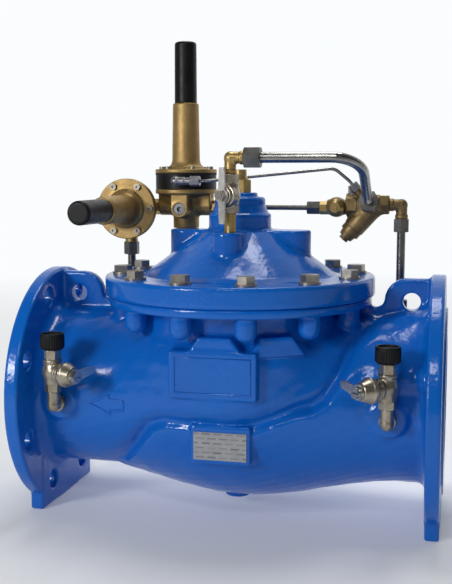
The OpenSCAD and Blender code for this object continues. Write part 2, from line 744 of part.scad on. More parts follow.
module pull_off_cap() difference() {
    translate([0, 0, column_top + 0.3]) cylinder(r1 = cap_r, r2 = cap_r - 0.4,
        h = cap_end - column_top - 0.3);
    translate([0, 0, column_top]) cylinder(r = 9.3, h = cap_end - column_top - 4);
}

module pilot_body() color(brass) at_pilot() difference() {
    union() {
        translate([0, 0, -26]) cylinder(r = 16, h = 44);
        translate([0, 0, 12]) cylinder(r1 = 18, r2 = 30, h = 5);
        translate([0, 0, 16.5]) cylinder(r = pilot_r, h = 5.5);
        translate([-33, 0, 0]) along_x() cylinder(r = 10.5, h = 66);
        for (s = [-1, 1]) translate([s > 0 ? 0 : -33, -10.5, 0]) cube([33, 21, 17]);
        translate([0, 0, -2]) to_front() cylinder(r = 10.5, h = 33);
        translate([-10.5, -33, -2]) cube([21, 33, 19]);
    }
    translate([0, 0, 17]) cylinder(r = 26, h = 6);
    translate([0, 0, -30]) cylinder(r = 9, h = 30);
    translate([0, 0, -5]) cylinder(r = 5, h = 24);
    translate([0, 0, 6]) cylinder(r = 9, h = 12);
    translate([-34, 0, -6]) along_x() cylinder(r = 4, h = 34);
    translate([0, 0, 10]) along_x() cylinder(r = 4, h = 20);
    translate([18, 0, 0]) along_x() cylinder(r = 4, h = 20);
    translate([18, 0, 0]) cylinder(r = 4, h = 10);
    translate([0, -24, -2]) to_front() cylinder(r = 7, h = 10);
    screw_holes(10, 30);
}

module pilot_ring() color(black) at_pilot() difference() {
    translate([0, 0, ring_low]) ring(pilot_r - 0.5, 28, diaphragm_low - ring_low);
    screw_holes(ring_low - 1, diaphragm_low + 1);
    translate([0, -20, 32]) to_front() cylinder(r = 5, h = 30);
}

module pilot_diaphragm() color(rubber) at_pilot() difference() {
    translate([0, 0, diaphragm_low]) ring(pilot_r, 4, split_h - diaphragm_low);
    screw_holes(diaphragm_low - 1, split_h + 1);
}

module pilot_bonnet() color(brass) at_pilot() bonnet(pilot_r);

module flange_screws(low, top) for (a = [0:60:300]) rotate(a) translate([screw_circle, 0, 0]) {
    translate([0, 0, low]) cylinder(r = 2.5, h = top - low + 0.1);
    translate([0, 0, top]) difference() {
        cylinder(r = 4, h = 3.2);
        translate([0, 0, 1.2]) hex(3, 4);
    }
}

module pilot_screws() color(steel) {
    at_pilot() flange_screws(17, split_h + bonnet_flange_t);
    at_relief() flange_screws(34, split_h + bonnet_flange_t);
}

module pilot_poppet() color(brass) at_pilot() {
    translate([0, 0, split_h]) cylinder(r = 18, h = 2.5);
    translate([0, 0, split_h + 2.5]) cylinder(r = 7, h = 4);
    translate([0, 0, diaphragm_low - 3.5]) cylinder(r = 22, h = 3.5);
    translate([0, 0, -4]) cylinder(r = 3.5, h = split_h + 4.5);
    translate([0, 0, -6]) cylinder(r = 7.5, h = 4);
}

module pilot_spring() color(steel) at_pilot() coil(9.5, 1.6, split_h + 2.6, seat_low - 0.1, 8);
module pilot_spring_seat() color(steel) at_pilot() spring_seat();
module pilot_adjuster() color(steel) at_pilot() adjuster();
module pilot_cap() color(black) at_pilot() pull_off_cap();

module relief_body() color(brass) at_relief() difference() {
    union() {
        rotate_extrude() polygon([[0, -18], [17, -18], [17, split_h - 10], [30, split_h - 5],
            [pilot_r - 1.5, split_h - 5], [pilot_r - 1.5, split_h], [0, split_h]]);
        translate([8, 1.5, 0]) along_x() cylinder(r = 11, h = 10);
        translate([outlet_pipe_x - relief_x, -8, 0]) rotate([90, 0, 0])
            cylinder(r = 8.5, h = 24.5);
    }
    translate([0, 0, 6]) cylinder(r = 11.5, h = 40);
    translate([0, 0, -1]) cylinder(r = 3, h = 8);
    translate([0, 1.5, 0]) along_x() cylinder(r = 4, h = 20);
    translate([outlet_pipe_x - relief_x, -2, 0]) rotate([90, 0, 0]) cylinder(r = 3.5, h = 32);
    translate([-7, -4, 0]) cylinder(r = 3, h = 8);
    screw_holes(30, 50);
}

module relief_bonnet() color(brass) at_relief() bonnet(pilot_r - 1.5);

module relief_piston() color(steel) at_relief() {
    translate([0, 0, 6]) cylinder(r = 4.5, h = 4);
    translate([0, 0, 10]) cylinder(r = 11.5 - fit, h = 22);
    translate([0, 0, 32]) cylinder(r = 6, h = split_h - 29);
    translate([0, 0, split_h]) cylinder(r = 11, h = 2.5);
}

module relief_spring() color(steel) at_relief() coil(9, 1.6, split_h + 2.6, seat_low - 0.1, 8);
module relief_spring_seat() color(steel) at_relief() spring_seat();
module relief_adjuster() color(steel) at_relief() adjuster();
module relief_cap() color(black) at_relief() pull_off_cap();

valve_body();
seat_ring();
guide_bushes();
main_stem();
valve_disc();
disc_seal();
disc_retainer();
lower_diaphragm_plate();
main_diaphragm();
upper_diaphragm_plate();
stem_nut();
main_spring();
cover();
cover_bolts();
vent_plug();
name_plate();
gauge_elbows();
gauge_bodies();
outlet_gauge_stem();
outlet_gauge_lever();
outlet_gauge_cap();
inlet_gauge_stem();
inlet_gauge_lever();
inlet_gauge_cap();
chamber_nipple();
chamber_valve_body();
chamber_ball();
chamber_handle();
chamber_handle_nut();
pipe_elbows();
chamber_pipe();
pipe_nuts();
pipe_connectors();
strainer_body();
strainer_cap();
strainer_screen();
needle_valve_body();
needle_screw();
branch_pipes();
sensing_tube();
sensing_fittings();
feed_tube();
port_plugs();
pilot_body();
pilot_ring();
pilot_diaphragm();
pilot_bonnet();
pilot_screws();
pilot_poppet();
pilot_spring();
pilot_spring_seat();
pilot_adjuster();
pilot_cap();
relief_body();
relief_bonnet();
relief_piston();
relief_spring();
relief_spring_seat();
relief_adjuster();
relief_cap();
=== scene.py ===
"""Looks of the pilot-operated pressure reducing valve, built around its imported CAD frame."""

import json
import math

import bpy
import numpy as np
import openvdb
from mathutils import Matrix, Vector


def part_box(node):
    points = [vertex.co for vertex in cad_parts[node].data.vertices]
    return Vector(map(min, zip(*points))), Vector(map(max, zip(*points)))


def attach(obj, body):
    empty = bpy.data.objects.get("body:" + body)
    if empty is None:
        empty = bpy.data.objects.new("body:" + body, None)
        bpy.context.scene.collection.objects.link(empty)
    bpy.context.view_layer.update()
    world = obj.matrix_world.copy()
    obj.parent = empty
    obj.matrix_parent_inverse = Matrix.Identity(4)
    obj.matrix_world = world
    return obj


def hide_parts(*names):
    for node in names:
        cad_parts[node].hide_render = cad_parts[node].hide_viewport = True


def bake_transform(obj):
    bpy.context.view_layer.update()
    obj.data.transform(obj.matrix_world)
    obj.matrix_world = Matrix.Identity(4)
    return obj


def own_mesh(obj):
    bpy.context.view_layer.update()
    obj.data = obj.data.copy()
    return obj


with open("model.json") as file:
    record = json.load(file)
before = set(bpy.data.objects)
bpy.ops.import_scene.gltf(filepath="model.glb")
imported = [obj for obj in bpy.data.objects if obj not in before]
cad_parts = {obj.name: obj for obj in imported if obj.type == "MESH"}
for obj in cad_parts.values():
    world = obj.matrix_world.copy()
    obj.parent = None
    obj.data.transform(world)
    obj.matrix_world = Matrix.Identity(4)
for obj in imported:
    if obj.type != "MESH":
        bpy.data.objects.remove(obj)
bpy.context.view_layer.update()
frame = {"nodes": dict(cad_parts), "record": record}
nodes = frame["nodes"]

MM = 0.001

# ---------------------------------------------------------------- distances to simple solids
# Castings are described in millimetres from the valve's centre line, as distances to blended
# solids on a grid, and turned into meshes. The frame's origin is the inlet face.

CENTRE_X = (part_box("cover")[0].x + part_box("cover")[1].x) / 2 / MM
X, Y, Z = np.eye(3)


def vector(p):
    return np.array(p, float)


def unit(p):
    return vector(p) / np.linalg.norm(p)


def rounded(a, b, edge):
    """Distance to the corner of two faces, with that edge radius."""
    a, b = a + edge, b + edge
    return np.minimum(np.maximum(a, b), 0) + np.hypot(np.maximum(a, 0), np.maximum(b, 0)) - edge


def smooth_min(a, b, k):
    if k <= 0:
        return np.minimum(a, b)
    h = np.maximum(k - np.abs(a - b), 0) / k
    return np.minimum(a, b) - h * h * k / 4


def smooth_max(a, b, k):
    return -smooth_min(-a, -b, k)


def along(grid, p, d):
    """Height along the line from p in direction d, and distance from it."""
    x, y, z = (grid[i] - p[i] for i in range(3))
    h = x * d[0] + y * d[1] + z * d[2]
    return h, np.sqrt(np.maximum(x * x + y * y + z * z - h * h, 0))


def rod(grid, p, d, r, length, edge=0.5):
    h, s = along(grid, p, unit(d))
    return rounded(s - r, np.abs(h - length / 2) - length / 2, edge)


def cone(grid, p, d, r1, r2, length, edge=0.5):
    h, s = along(grid, p, unit(d))
    lean = math.cos(math.atan2(r1 - r2, length))
    wall = (s - r1 - (r2 - r1) * h / length) * lean
    return rounded(wall, np.abs(h - length / 2) - length / 2, edge)


def ball(grid, p, r):
    return np.sqrt(sum((grid[i] - p[i]) ** 2 for i in range(3))) - r


def block(grid, centre, half, edge=0.5):
    q = [np.abs(grid[i] - centre[i]) - half[i] + edge for i in range(3)]
    outside = np.sqrt(sum(np.maximum(a, 0) ** 2 for a in q))
    return outside + np.minimum(np.maximum(np.maximum(q[0], q[1]), q[2]), 0) - edge


def hexagon(grid, p, d, flats, length, edge=0.5, turn=0.0):
    """Hexagonal prism along d, with chamfered ends."""
    d = unit(d)
    side = unit(np.cross(d, X if abs(d[0]) < 0.9 else Z))
    other = np.cross(d, side)
    h, s = along(grid, p, d)
    rel = [grid[i] - p[i] for i in range(3)]
    wall = None
    for k in range(3):
        a = math.radians(60 * k + turn)
        n = side * math.cos(a) + other * math.sin(a)
        face = np.abs(rel[0] * n[0] + rel[1] * n[1] + rel[2] * n[2]) - flats / 2
        wall = face if wall is None else np.maximum(wall, face)
    middle = np.abs(h - length / 2)
    chamfer = (s - flats / 2 * 1.02 + (middle - length / 2) * 1.7) * 0.5
    return np.maximum(rounded(wall, middle - length / 2, edge), chamfer)


def outline(u, v, points):
    """Signed distance in the plane to a closed outline."""
    nearest, inside = None, None
    for (x0, y0), (x1, y1) in zip(points, points[1:] + points[:1]):
        ex, ey = x1 - x0, y1 - y0
        wx, wy = u - x0, v - y0
        t = np.clip((wx * ex + wy * ey) / (ex * ex + ey * ey), 0, 1)
        d = (wx - ex * t) ** 2 + (wy - ey * t) ** 2
        nearest = d if nearest is None else np.minimum(nearest, d)
        above = (v >= y0) != (v >= y1)
        flip = above & ((wx * ey - wy * ex > 0) != (ey < 0))
        inside = flip if inside is None else inside ^ flip
    return np.where(inside, -1, 1) * np.sqrt(nearest)


def lathe(grid, p, d, points, edge=0.0):
    """Solid of revolution of an outline of (radius, height) points."""
    h, s = along(grid, p, unit(d))
    return outline(s, h, points) - edge


class Casting:
    """A block of space on a grid, holding the distance to a solid in millimetres."""

    def __init__(self, low, high, voxel):
        self.voxel = voxel * 1
        self.low = vector(low) - 3 * self.voxel
        count = np.ceil((vector(high) - self.low) / self.voxel).astype(int) + 4
        self.axes = [self.low[i] + self.voxel * np.arange(count[i]) for i in range(3)]
        self.distance = np.full(count, 50, np.float32)

    def window(self, low, high, margin):
        cuts = []
        for i in range(3):
            lo = 0 if low is None else np.searchsorted(self.axes[i], low[i] - margin)
            hi = len(self.axes[i]) if high is None else np.searchsorted(
                self.axes[i], high[i] + margin)
            cuts.append(slice(int(lo), int(hi)))
        x, y, z = (self.axes[i][cuts[i]].astype(np.float32) for i in range(3))
        return tuple(cuts), (x[:, None, None], y[None, :, None], z[None, None, :])

    def add(self, shape, low=None, high=None, blend=0.0):
        cuts, grid = self.window(low, high, blend + 4 * self.voxel)
        self.distance[cuts] = smooth_min(self.distance[cuts], shape(grid), blend)

    def cut(self, shape, low=None, high=None, blend=0.0):
        cuts, grid = self.window(low, high, blend + 4 * self.voxel)
        self.distance[cuts] = smooth_max(self.distance[cuts], -shape(grid), blend)

    def push(self, depth):
        """Draws the skin in by a depth that varies over the grid."""
        grid = self.window(None, None, 0)[1]
        self.distance += depth(grid).astype(np.float32)

    def front(self, x, z):
        """Where the skin is, seen from the front."""
        i, k = (int(round((v - self.low[n]) / self.voxel)) for n, v in ((0, x), (2, z)))
        line = self.distance[i, :, k]
        j = int(np.argmax(line < 0))
        part = line[j - 1] / (line[j - 1] - line[j])
        return self.axes[1][j - 1] + self.voxel * float(part)

    def piece(self, name, material, body, replaced, slot):
        grid = openvdb.FloatGrid(10.0)
        grid.copyFromArray(np.ascontiguousarray(self.distance))
        points, triangles, quads = grid.convertToPolygons(isovalue=0.0, adaptivity=0.0)
        points = (points * self.voxel + self.low + vector([CENTRE_X, 0, 0])) * MM
        faces = [tuple(int(i) for i in f[::-1]) for f in quads.tolist() + triangles.tolist()]
        mesh = bpy.data.meshes.new(name)
        mesh.from_pydata(points.tolist(), [], faces)
        mesh.validate()
        mesh.polygons.foreach_set("use_smooth", np.ones(len(mesh.polygons), bool))
        return finished(name, mesh, material, body, replaced)


def finished(name, mesh, material, body, replaced):
    piece = bpy.data.objects.new(name, mesh)
    bpy.context.scene.collection.objects.link(piece)
    mesh.materials.append(material)
    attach(piece, body)
    if replaced:
        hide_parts(*replaced)
    return piece


# ---------------------------------------------------------------- materials


class Shader:
    """A node material under construction."""

    def __init__(self, name, **inputs):
        self.material = bpy.data.materials.new(name)
        self.material.use_nodes = True
        self.tree = self.material.node_tree
        self.surface = self.tree.nodes["Principled BSDF"]
        for key, value in inputs.items():
            self.surface.inputs[key.replace("_", " ")].default_value = value
        self.place = self.tree.nodes.new("ShaderNodeTexCoord").outputs["Object"]
        self.normal = None

    def link(self, a, b):
        self.tree.links.new(a, b)

    def noise(self, scale, detail=3, rough=0.5):
        node = self.tree.nodes.new("ShaderNodeTexNoise")
        node.inputs["Scale"].default_value = scale
        node.inputs["Detail"].default_value = detail
        node.inputs["Roughness"].default_value = rough
        self.link(self.place, node.inputs["Vector"])
        return node.outputs["Fac"]

    def ramp(self, value, stops):
        node = self.tree.nodes.new("ShaderNodeValToRGB")
        ends = node.color_ramp.elements
        while len(ends) < len(stops):
            ends.new(0.5)
        for end, (at, colour) in zip(ends, stops):
            end.position = at
            end.color = (*colour, 1)
        self.link(value, node.inputs["Fac"])
        return node.outputs["Color"]

    def span(self, value, low, high):
        node = self.tree.nodes.new("ShaderNodeMapRange")
        node.inputs["From Min"].default_value = 0.3
        node.inputs["From Max"].default_value = 0.7
        node.inputs["To Min"].default_value = low
        node.inputs["To Max"].default_value = high
        self.link(value, node.inputs["Value"])
        return node.outputs["Result"]

    def colour(self, value, stops):
        self.link(self.ramp(value, stops), self.surface.inputs["Base Color"])

    def roughness(self, value, low, high):
        self.link(self.span(value, low, high), self.surface.inputs["Roughness"])

    def bump(self, value, height_mm, strength=1.0):
        node = self.tree.nodes.new("ShaderNodeBump")
        node.inputs["Strength"].default_value = strength
        node.inputs["Distance"].default_value = height_mm * MM
        self.link(value, node.inputs["Height"])
        if self.normal:
            self.link(self.normal, node.inputs["Normal"])
        self.normal = node.outputs["Normal"]
        self.link(self.normal, self.surface.inputs["Normal"])


def blue_paint():
    """Thick glossy epoxy over cast iron, with the unevenness of a coat that ran a little."""
    s = Shader("blue_epoxy", Specular_IOR_Level=0.38)
    s.colour(s.noise(9, 4), [(0.25, (0.003, 0.116, 0.51)), (0.8, (0.004, 0.141, 0.59))])
    s.roughness(s.noise(60, 3), 0.12, 0.22)
    s.bump(s.noise(85, 2), 0.6, 0.7)
    s.bump(s.noise(230, 2), 0.26, 0.9)
    return s.material


def metal(name, dark, light, roughness, grain, height_mm, scale=40, metallic=1.0):
    """Metal that varies between two colours, with a fine grain of that height."""
    s = Shader(name, Metallic=metallic)
    s.colour(s.noise(scale, 5, 0.6), [(0.3, dark), (0.72, light)])
    s.roughness(s.noise(scale * 1.7, 4, 0.6), *roughness)
    if height_mm:
        s.bump(s.noise(grain, 3, 0.6), height_mm, 0.6)
    return s.material


def plastic(name, colour, light, roughness):
    """Moulded plastic or rubber that varies between two colours."""
    s = Shader(name, Specular_IOR_Level=0.28)
    s.colour(s.noise(50, 4), [(0.3, colour), (0.75, light)])
    s.roughness(s.noise(90, 3), *roughness)
    s.bump(s.noise(700, 2), 0.05, 0.5)
    return s.material


def foil_label():
    """Grey foil with rows of printed grey bars."""
    s = Shader("label_foil", Metallic=0.5)
    turned = s.tree.nodes.new("ShaderNodeMapping")
    turned.inputs["Rotation"].default_value = (math.radians(-90), 0, 0)
    turned.inputs["Scale"].default_value = (70, 70, 70)
    s.link(s.place, turned.inputs["Vector"])
    rows = s.tree.nodes.new("ShaderNodeTexBrick")
    s.link(turned.outputs["Vector"], rows.inputs["Vector"])
    rows.inputs["Color1"].default_value = (0.16, 0.165, 0.17, 1)
    rows.inputs["Color2"].default_value = (0.30, 0.315, 0.33, 1)
    rows.inputs["Scale"].default_value = 1.0
    rows.inputs["Brick Width"].default_value = 0.9
    rows.inputs["Row Height"].default_value = 0.36
    rows.inputs["Mortar Size"].default_value = 0.14
    rows.inputs["Mortar Smooth"].default_value = 0.3
    foil = s.ramp(s.noise(80, 3), [(0.3, (0.33, 0.335, 0.35)), (0.7, (0.39, 0.395, 0.41))])
    s.link(foil, rows.inputs["Mortar"])
    s.link(rows.outputs["Color"], s.surface.inputs["Base Color"])
    s.roughness(s.noise(300, 2), 0.32, 0.45)
    s.bump(s.noise(900, 2), 0.02, 0.4)
    return s.material


MATERIALS = {
    "blue_epoxy": blue_paint(),
    "stainless": metal("stainless", (0.40, 0.39, 0.37), (0.58, 0.57, 0.54), (0.18, 0.32), 500, 0.02),
    "spring_steel": metal("spring_steel", (0.3, 0.3, 0.29), (0.45, 0.44, 0.42), (0.3, 0.45), 400, 0.02),
    "zinc_steel": metal("zinc_steel", (0.27, 0.24, 0.20), (0.48, 0.45, 0.38), (0.30, 0.48), 300, 0.08, 70,
                        0.8),
    "dark_steel": metal("dark_steel", (0.13, 0.125, 0.115), (0.24, 0.235, 0.215), (0.34, 0.5), 300, 0.05, 60,
                        0.7),
    "cast_brass": metal("cast_brass", (0.31, 0.20, 0.075), (0.50, 0.345, 0.14), (0.42, 0.58), 420, 0.28, 34,
                        0.78),
    "machined_brass": metal("machined_brass", (0.33, 0.225, 0.085), (0.55, 0.39, 0.16), (0.28, 0.42), 300,
                            0.06, 45, 0.85),
    "rough_brass": metal("rough_brass", (0.17, 0.115, 0.05), (0.34, 0.24, 0.11), (0.42, 0.6), 300, 0.12, 60,
                         0.75),
    "nickel": metal("nickel", (0.28, 0.24, 0.18), (0.50, 0.45, 0.36), (0.24, 0.40), 350, 0.10, 50, 0.85),
    "lever_steel": metal("lever_steel", (0.48, 0.47, 0.45), (0.66, 0.65, 0.62), (0.24, 0.38), 400, 0.03),
    "pipe_steel": metal("pipe_steel", (0.26, 0.255, 0.245), (0.38, 0.375, 0.36), (0.2, 0.3), 0, 0, 60),
    "dark_pipe": metal("dark_pipe", (0.14, 0.14, 0.13), (0.24, 0.235, 0.22), (0.24, 0.38), 300, 0.03, 60),
    "grey_steel": metal("grey_steel", (0.20, 0.20, 0.22), (0.34, 0.34, 0.36), (0.30, 0.42), 300, 0.04, 60,
                        0.85),
    "black_plastic": plastic("black_plastic", (0.0018, 0.0018, 0.002), (0.0042, 0.0042, 0.0044),
                             (0.36, 0.5)),
    "black_ring": plastic("black_ring", (0.003, 0.003, 0.0035), (0.007, 0.007, 0.0075), (0.38, 0.5)),
    "rubber": plastic("rubber", (0.012, 0.012, 0.012), (0.024, 0.024, 0.024), (0.6, 0.75)),
    "label": foil_label(),
}
FINISH_OF = {"branch_pipes": "dark_pipe", "chamber_pipe": "pipe_steel", "sensing_tube": "pipe_steel",
             "strainer_cap": "rough_brass", "port_plugs": "grey_steel"}

# ---------------------------------------------------------------- places that castings share

CIRCUIT_Y = 60
BRANCH_X = {"outlet": -154, "inlet": 182.5}
GAUGE_X = {"outlet": -189, "inlet": 181.5}
GAUGE_Y = -115
GAUGE_Z = -3
CHAMBER_X = 1.5
CHAMBER_Y = -58
PILOT = vector((-82, CIRCUIT_Y, 215))
RELIEF = vector((-145.5, CIRCUIT_Y, 213.5))
STRAINER = vector((151, CIRCUIT_Y, 219))
SENSE_ELBOW = vector((PILOT[0], 12, 247))

# ---------------------------------------------------------------- main body casting

SPLIT_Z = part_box("cover")[0].z / MM
FEET_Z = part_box("valve_body")[0].z / MM
FACE_X = (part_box("valve_body")[1].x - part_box("valve_body")[0].x) / 2 / MM
FLANGE_R = 142.5
FLANGE_BACK = FACE_X - 19
FLANGE_CIRCLE_R = 120
RAISED_R = 105.5
NECK_R = 94
BORE_R = 75
HOLE_R = {1: 11.5, -1: 11.25}
COVER_R = 157.3
FLANGE_LOW = 106
BOLT_CIRCLE_R = 137
BOLT_ANGLES = [math.radians(15 + 30 * k) for k in range(12)]


def belly_radius(x):
    swell = 27 * (1 + np.cos(np.pi * np.clip((x - 10) / 190, -1, 1))) / 2
    return NECK_R + swell


def belly(grid, shrink=0.0):
    x, y, z = grid
    return (np.sqrt(y * y + z * z) - belly_radius(x) + shrink) * 0.97


def below_partition(grid):
    """The region of the inlet side, under the slanting wall between the two chambers."""
    x, _, z = grid
    points = [(-165, -112), (-143, -88), (-109, -54), (-95, -37), (-82, -22), (-62, -13),
              (28, -14), (49, -8), (85, 5), (100, 8), (113, 17), (126, 39), (135, 58), (145, 77),
              (161, 89), (222, 104), (300, 104), (300, -200), (-165, -200)]
    return outline(x, z, points)


def inlet_volume(grid):
    shell = np.maximum(belly(grid), grid[0] - FACE_X + 15)
    return smooth_max(shell, below_partition(grid) + 0 * grid[1], 11)


def inlet_crown(grid):
    """The raised top of the inlet neck, running up to the flange."""
    swell = cone(grid, (140, 0, 0), X, 92, 106, 81, 2)
    return smooth_max(swell, 30 - grid[2] + 0 * grid[0], 20)


def outlet_neck(grid):
    x, y, z = grid
    return rounded(np.sqrt(y * y + z * z) - NECK_R, np.abs(x + 105) - 120, 2)


def bowl(grid):
    profile = [(0, 0), (100, 0), (100, 40), (88, 58), (88, 130), (0, 130)]
    return lathe(grid, (0, 0, 8), Z, profile, 30)


def inlet_shoulder(grid):
    """The outlet chamber's wall over the inlet, set back from the inlet side's own skin."""
    x = grid[0]
    return smooth_max(belly(grid, 9), np.abs(x - 80) - 100, 8)


def parting_groove(grid):
    """How far the skin draws in along the wall between the chambers."""
    across = below_partition(grid) / np.where(grid[0] < 60, 9, 7)
    fade = np.clip((205 - grid[0]) / 40, 0, 1) * np.clip((grid[0] + 150) / 30, 0, 1)
    return 5 * np.exp(-across ** 2) * fade + 0 * grid[1]


def waves(grid):
    """Shallow unevenness of a sand-cast skin."""
    x, y, z = grid
    total = 0
    for length, (a, b, c), turn in ((31, (0.6, 0.3, 0.74), 0.4), (23, (-0.5, 0.8, 0.33), 1.9),
                                    (17, (0.7, -0.2, -0.68), 3.1), (13, (-0.3, -0.5, 0.81), 5.0)):
        total = total + np.sin((a * x + b * y + c * z) * (2 * math.pi / length) + turn)
    return 0.11 * total


def slab_outline(grid, points, low, high, edge):
    """Outline in X and Z extruded along Y."""
    x, y, z = grid
    wall = outline(x, z, points) + 0 * y
    return rounded(wall, np.abs(y - (low + high) / 2) - (high - low) / 2, edge)


def lug_points(side):
    arc = [(194 + 25 * math.cos(a), 113 + 25 * math.sin(a))
           for a in np.radians(np.arange(90, 181, 15))]
    points = [(FLANGE_BACK + 4, 70), (FLANGE_BACK + 4, 138), *arc, (167, 108), (162, 105),
              (140, 104), (140, 70)]
    return [(side * x, z) for x, z in points]


def casting_body():
    """The valve's body, both chambers and both end flanges in one casting."""
    c = Casting((-FACE_X, -COVER_R, FEET_Z), (FACE_X, COVER_R, 138), 1.7)
    c.add(outlet_neck)
    c.add(lambda g: np.maximum(bowl(g), g[2] - 112), (-135, -135, -25), (135, 135, 112), 44)
    c.add(inlet_shoulder, (-20, -125, -125), (182, 125, 125), 16)
    c.add(inlet_volume, blend=7)
    c.add(inlet_crown, (130, -110, 0), (225, 110, 110), 10)
    c.push(parting_groove)
    c.push(waves)
    c.add(lambda g: rod(g, (0, 0, FLANGE_LOW), Z, 154, SPLIT_Z - FLANGE_LOW, 2.5),
          (-155, -155, FLANGE_LOW), (155, 155, SPLIT_Z), 7)
    for a in BOLT_ANGLES:
        p = (BOLT_CIRCLE_R * math.cos(a), BOLT_CIRCLE_R * math.sin(a), 80)
        c.add(lambda g, p=p: rod(g, p, Z, 12, 30, 11), (p[0] - 12, p[1] - 12, 80),
              (p[0] + 12, p[1] + 12, 110), 5)
    for side in (-1, 1):
        add_end(c, side)
    add_pads(c)
    c.add(lambda g: rod(g, (-2, 0, -128), Z, 15, 22, 2), (-18, -16, -129), (14, 16, -105), 3)
    cut_inside(c)
    return c


def add_end(c, side):
    """End flange with its raised face, bolt holes, foot and lifting lug."""
    back, out = side * FLANGE_BACK, (side, 0, 0)
    low = (min(side * 205, side * FACE_X), -145, FEET_Z)
    high = (max(side * 205, side * FACE_X), 145, 145)
    c.add(lambda g: rod(g, (back, 0, 0), out, FLANGE_R, 16, 2.5), low, high, 14)
    c.add(lambda g: block(g, (side * (FLANGE_BACK + 8), 0, FEET_Z + 32), (8, 77, 32), 2.5), low, high, 3)
    c.add(lambda g: rod(g, (back, 0, 0), out, RAISED_R, 18.7, 0.8), low, high)
    c.cut(lambda g: block(g, (side * FLANGE_BACK, 0, FEET_Z - 30), (40, 200, 30), 0), low, high)
    for k in range(8):
        a = math.radians(22.5 + 45 * k)
        p = (back - side * 30, FLANGE_CIRCLE_R * math.cos(a), FLANGE_CIRCLE_R * math.sin(a))
        c.cut(lambda g, p=p: rod(g, p, out, HOLE_R[side], 80, 0), low, high, 1.2)
    lug_low = (min(side * 138, side * 225), -12, 66)
    lug_high = (max(side * 138, side * 225), 12, 140)
    c.add(lambda g: slab_outline(g, lug_points(side), -7, 7, 3), lug_low, lug_high, 6)
    c.cut(lambda g: rod(g, (side * 199.5, -20, 112), Y, 10, 40, 0), lug_low, lug_high, 1.5)


def add_pads(c):
    """Name pads, the two bosses under the cover's flange, and the bosses for gauges and branch pipes."""
    c.add(lambda g: block(g, (-1.5, -100, 42), (48.5, 32, 26), 2.2), (-52, -133, 14), (49, -70, 70), 3)
    c.add(lambda g: block(g, (5, -95, -35.5), (33, 26, 21.5), 2.2), (-30, -122, -60), (40, -70, -12), 3)
    for turn in (0, 30):
        a = math.radians(turn)
        points = [(-32, 62), (-17, 83), (18, 83), (34, 62)]

        def shape(g, a=a, points=points):
            x = g[0] * math.cos(a) + g[1] * math.sin(a)
            y = -g[0] * math.sin(a) + g[1] * math.cos(a)
            return rounded(outline(x, g[2] + 0 * x, points), np.abs(y + 110) - 20.5, 2)

        c.add(shape, (-40, -135, 58), (110, -70, 82), 3)
    for x in GAUGE_X.values():
        c.add(lambda g, x=x: rod(g, (x, -98, GAUGE_Z), Y, 19, 24, 2), (x - 22, -99, -25),
              (x + 22, -74, 19), 8)
    for x in BRANCH_X.values():
        c.add(lambda g, x=x: rod(g, (x, CIRCUIT_Y, 40), Z, 13, 38, 1.5), (x - 16, 44, 40),
              (x + 16, 76, 79), 6)


def cut_inside(c):
    """Hollows the outlet chamber above the slanting wall, the inlet chamber below it, and the seat."""
    def upper(g):
        limit = outline(g[0], g[2], [(-260, -90), (-150, -76), (-86, 7), (86, 7), (128, 60),
                                     (128, 130), (-260, 130)])
        run = np.maximum(np.sqrt(g[1] ** 2 + g[2] ** 2) - BORE_R, g[0])
        pot = np.maximum(np.sqrt(g[0] ** 2 + g[1] ** 2) - 106, -g[2] - 20)
        return smooth_max(smooth_min(run, pot, 8), limit + 0 * g[1], 4)

    def lower(g):
        limit = outline(g[0], g[2], [(260, -130), (-136, -130), (-118, -76), (-80, -7), (90, -7),
                                     (160, 76), (260, 90)])
        run = np.maximum(np.sqrt(g[1] ** 2 + g[2] ** 2) - BORE_R, -g[0])
        pot = np.maximum(belly(g, 18), np.abs(g[0] - 5) - 145)
        return smooth_max(smooth_min(run, pot, 8), limit + 0 * g[1], 4)

    c.cut(upper)
    c.cut(lower)
    c.cut(lambda g: rod(g, (0, 0, -20), Z, 64, 40, 0), (-70, -70, -25), (70, 70, 25))


def bead(name, points, radius):
    """Cast line of round section, closed, standing out of the skin."""
    curve = bpy.data.curves.new(name, "CURVE")
    curve.dimensions = "3D"
    curve.bevel_depth = radius * MM
    curve.bevel_resolution = 3
    spline = curve.splines.new("POLY")
    spline.points.add(len(points) - 1)
    for spot, p in zip(spline.points, points):
        spot.co = ((p[0] + CENTRE_X) * MM, p[1] * MM, p[2] * MM, 1)
    spline.use_cyclic_u = True
    return finished(name, curve, MATERIALS["blue_epoxy"], "valve", [])


def divided(corners, count):
    """Closed outline with each side cut into equal steps."""
    pairs = zip(corners, corners[1:] + corners[:1])
    return [(a[0] + (b[0] - a[0]) * k / count, a[1] + (b[1] - a[1]) * k / count)
            for a, b in pairs for k in range(count)]


def flow_arrow(casting):
    """Outline of the arrow on the outlet neck, laid on the casting's skin."""
    corners = [(-155, -3), (-130.5, 7), (-130.5, 2.5), (-112, 1.5), (-113, -9), (-130.5, -11),
               (-130.5, -15)]
    return [(x, casting.front(x, z), z) for x, z in divided(corners, 5)]


def pad_frame():
    """Plain frame on the upper pad, inset from its edges."""
    inset = 7
    left, right = -50 + inset, 47 - inset
    low, high = 16 + inset, 68 - inset
    return [(x, -132, z) for x, z in ((left, low), (right, low), (right, high), (left, high))]


body = casting_body()
body.piece("body_casting", MATERIALS["blue_epoxy"], "valve", ["valve_body"], "blue_epoxy")
bead("flow_arrow", flow_arrow(body), 1.3)
bead("pad_frame", pad_frame(), 1.3)

# ---------------------------------------------------------------- cover casting

COVER_TOP = SPLIT_Z + 23.5


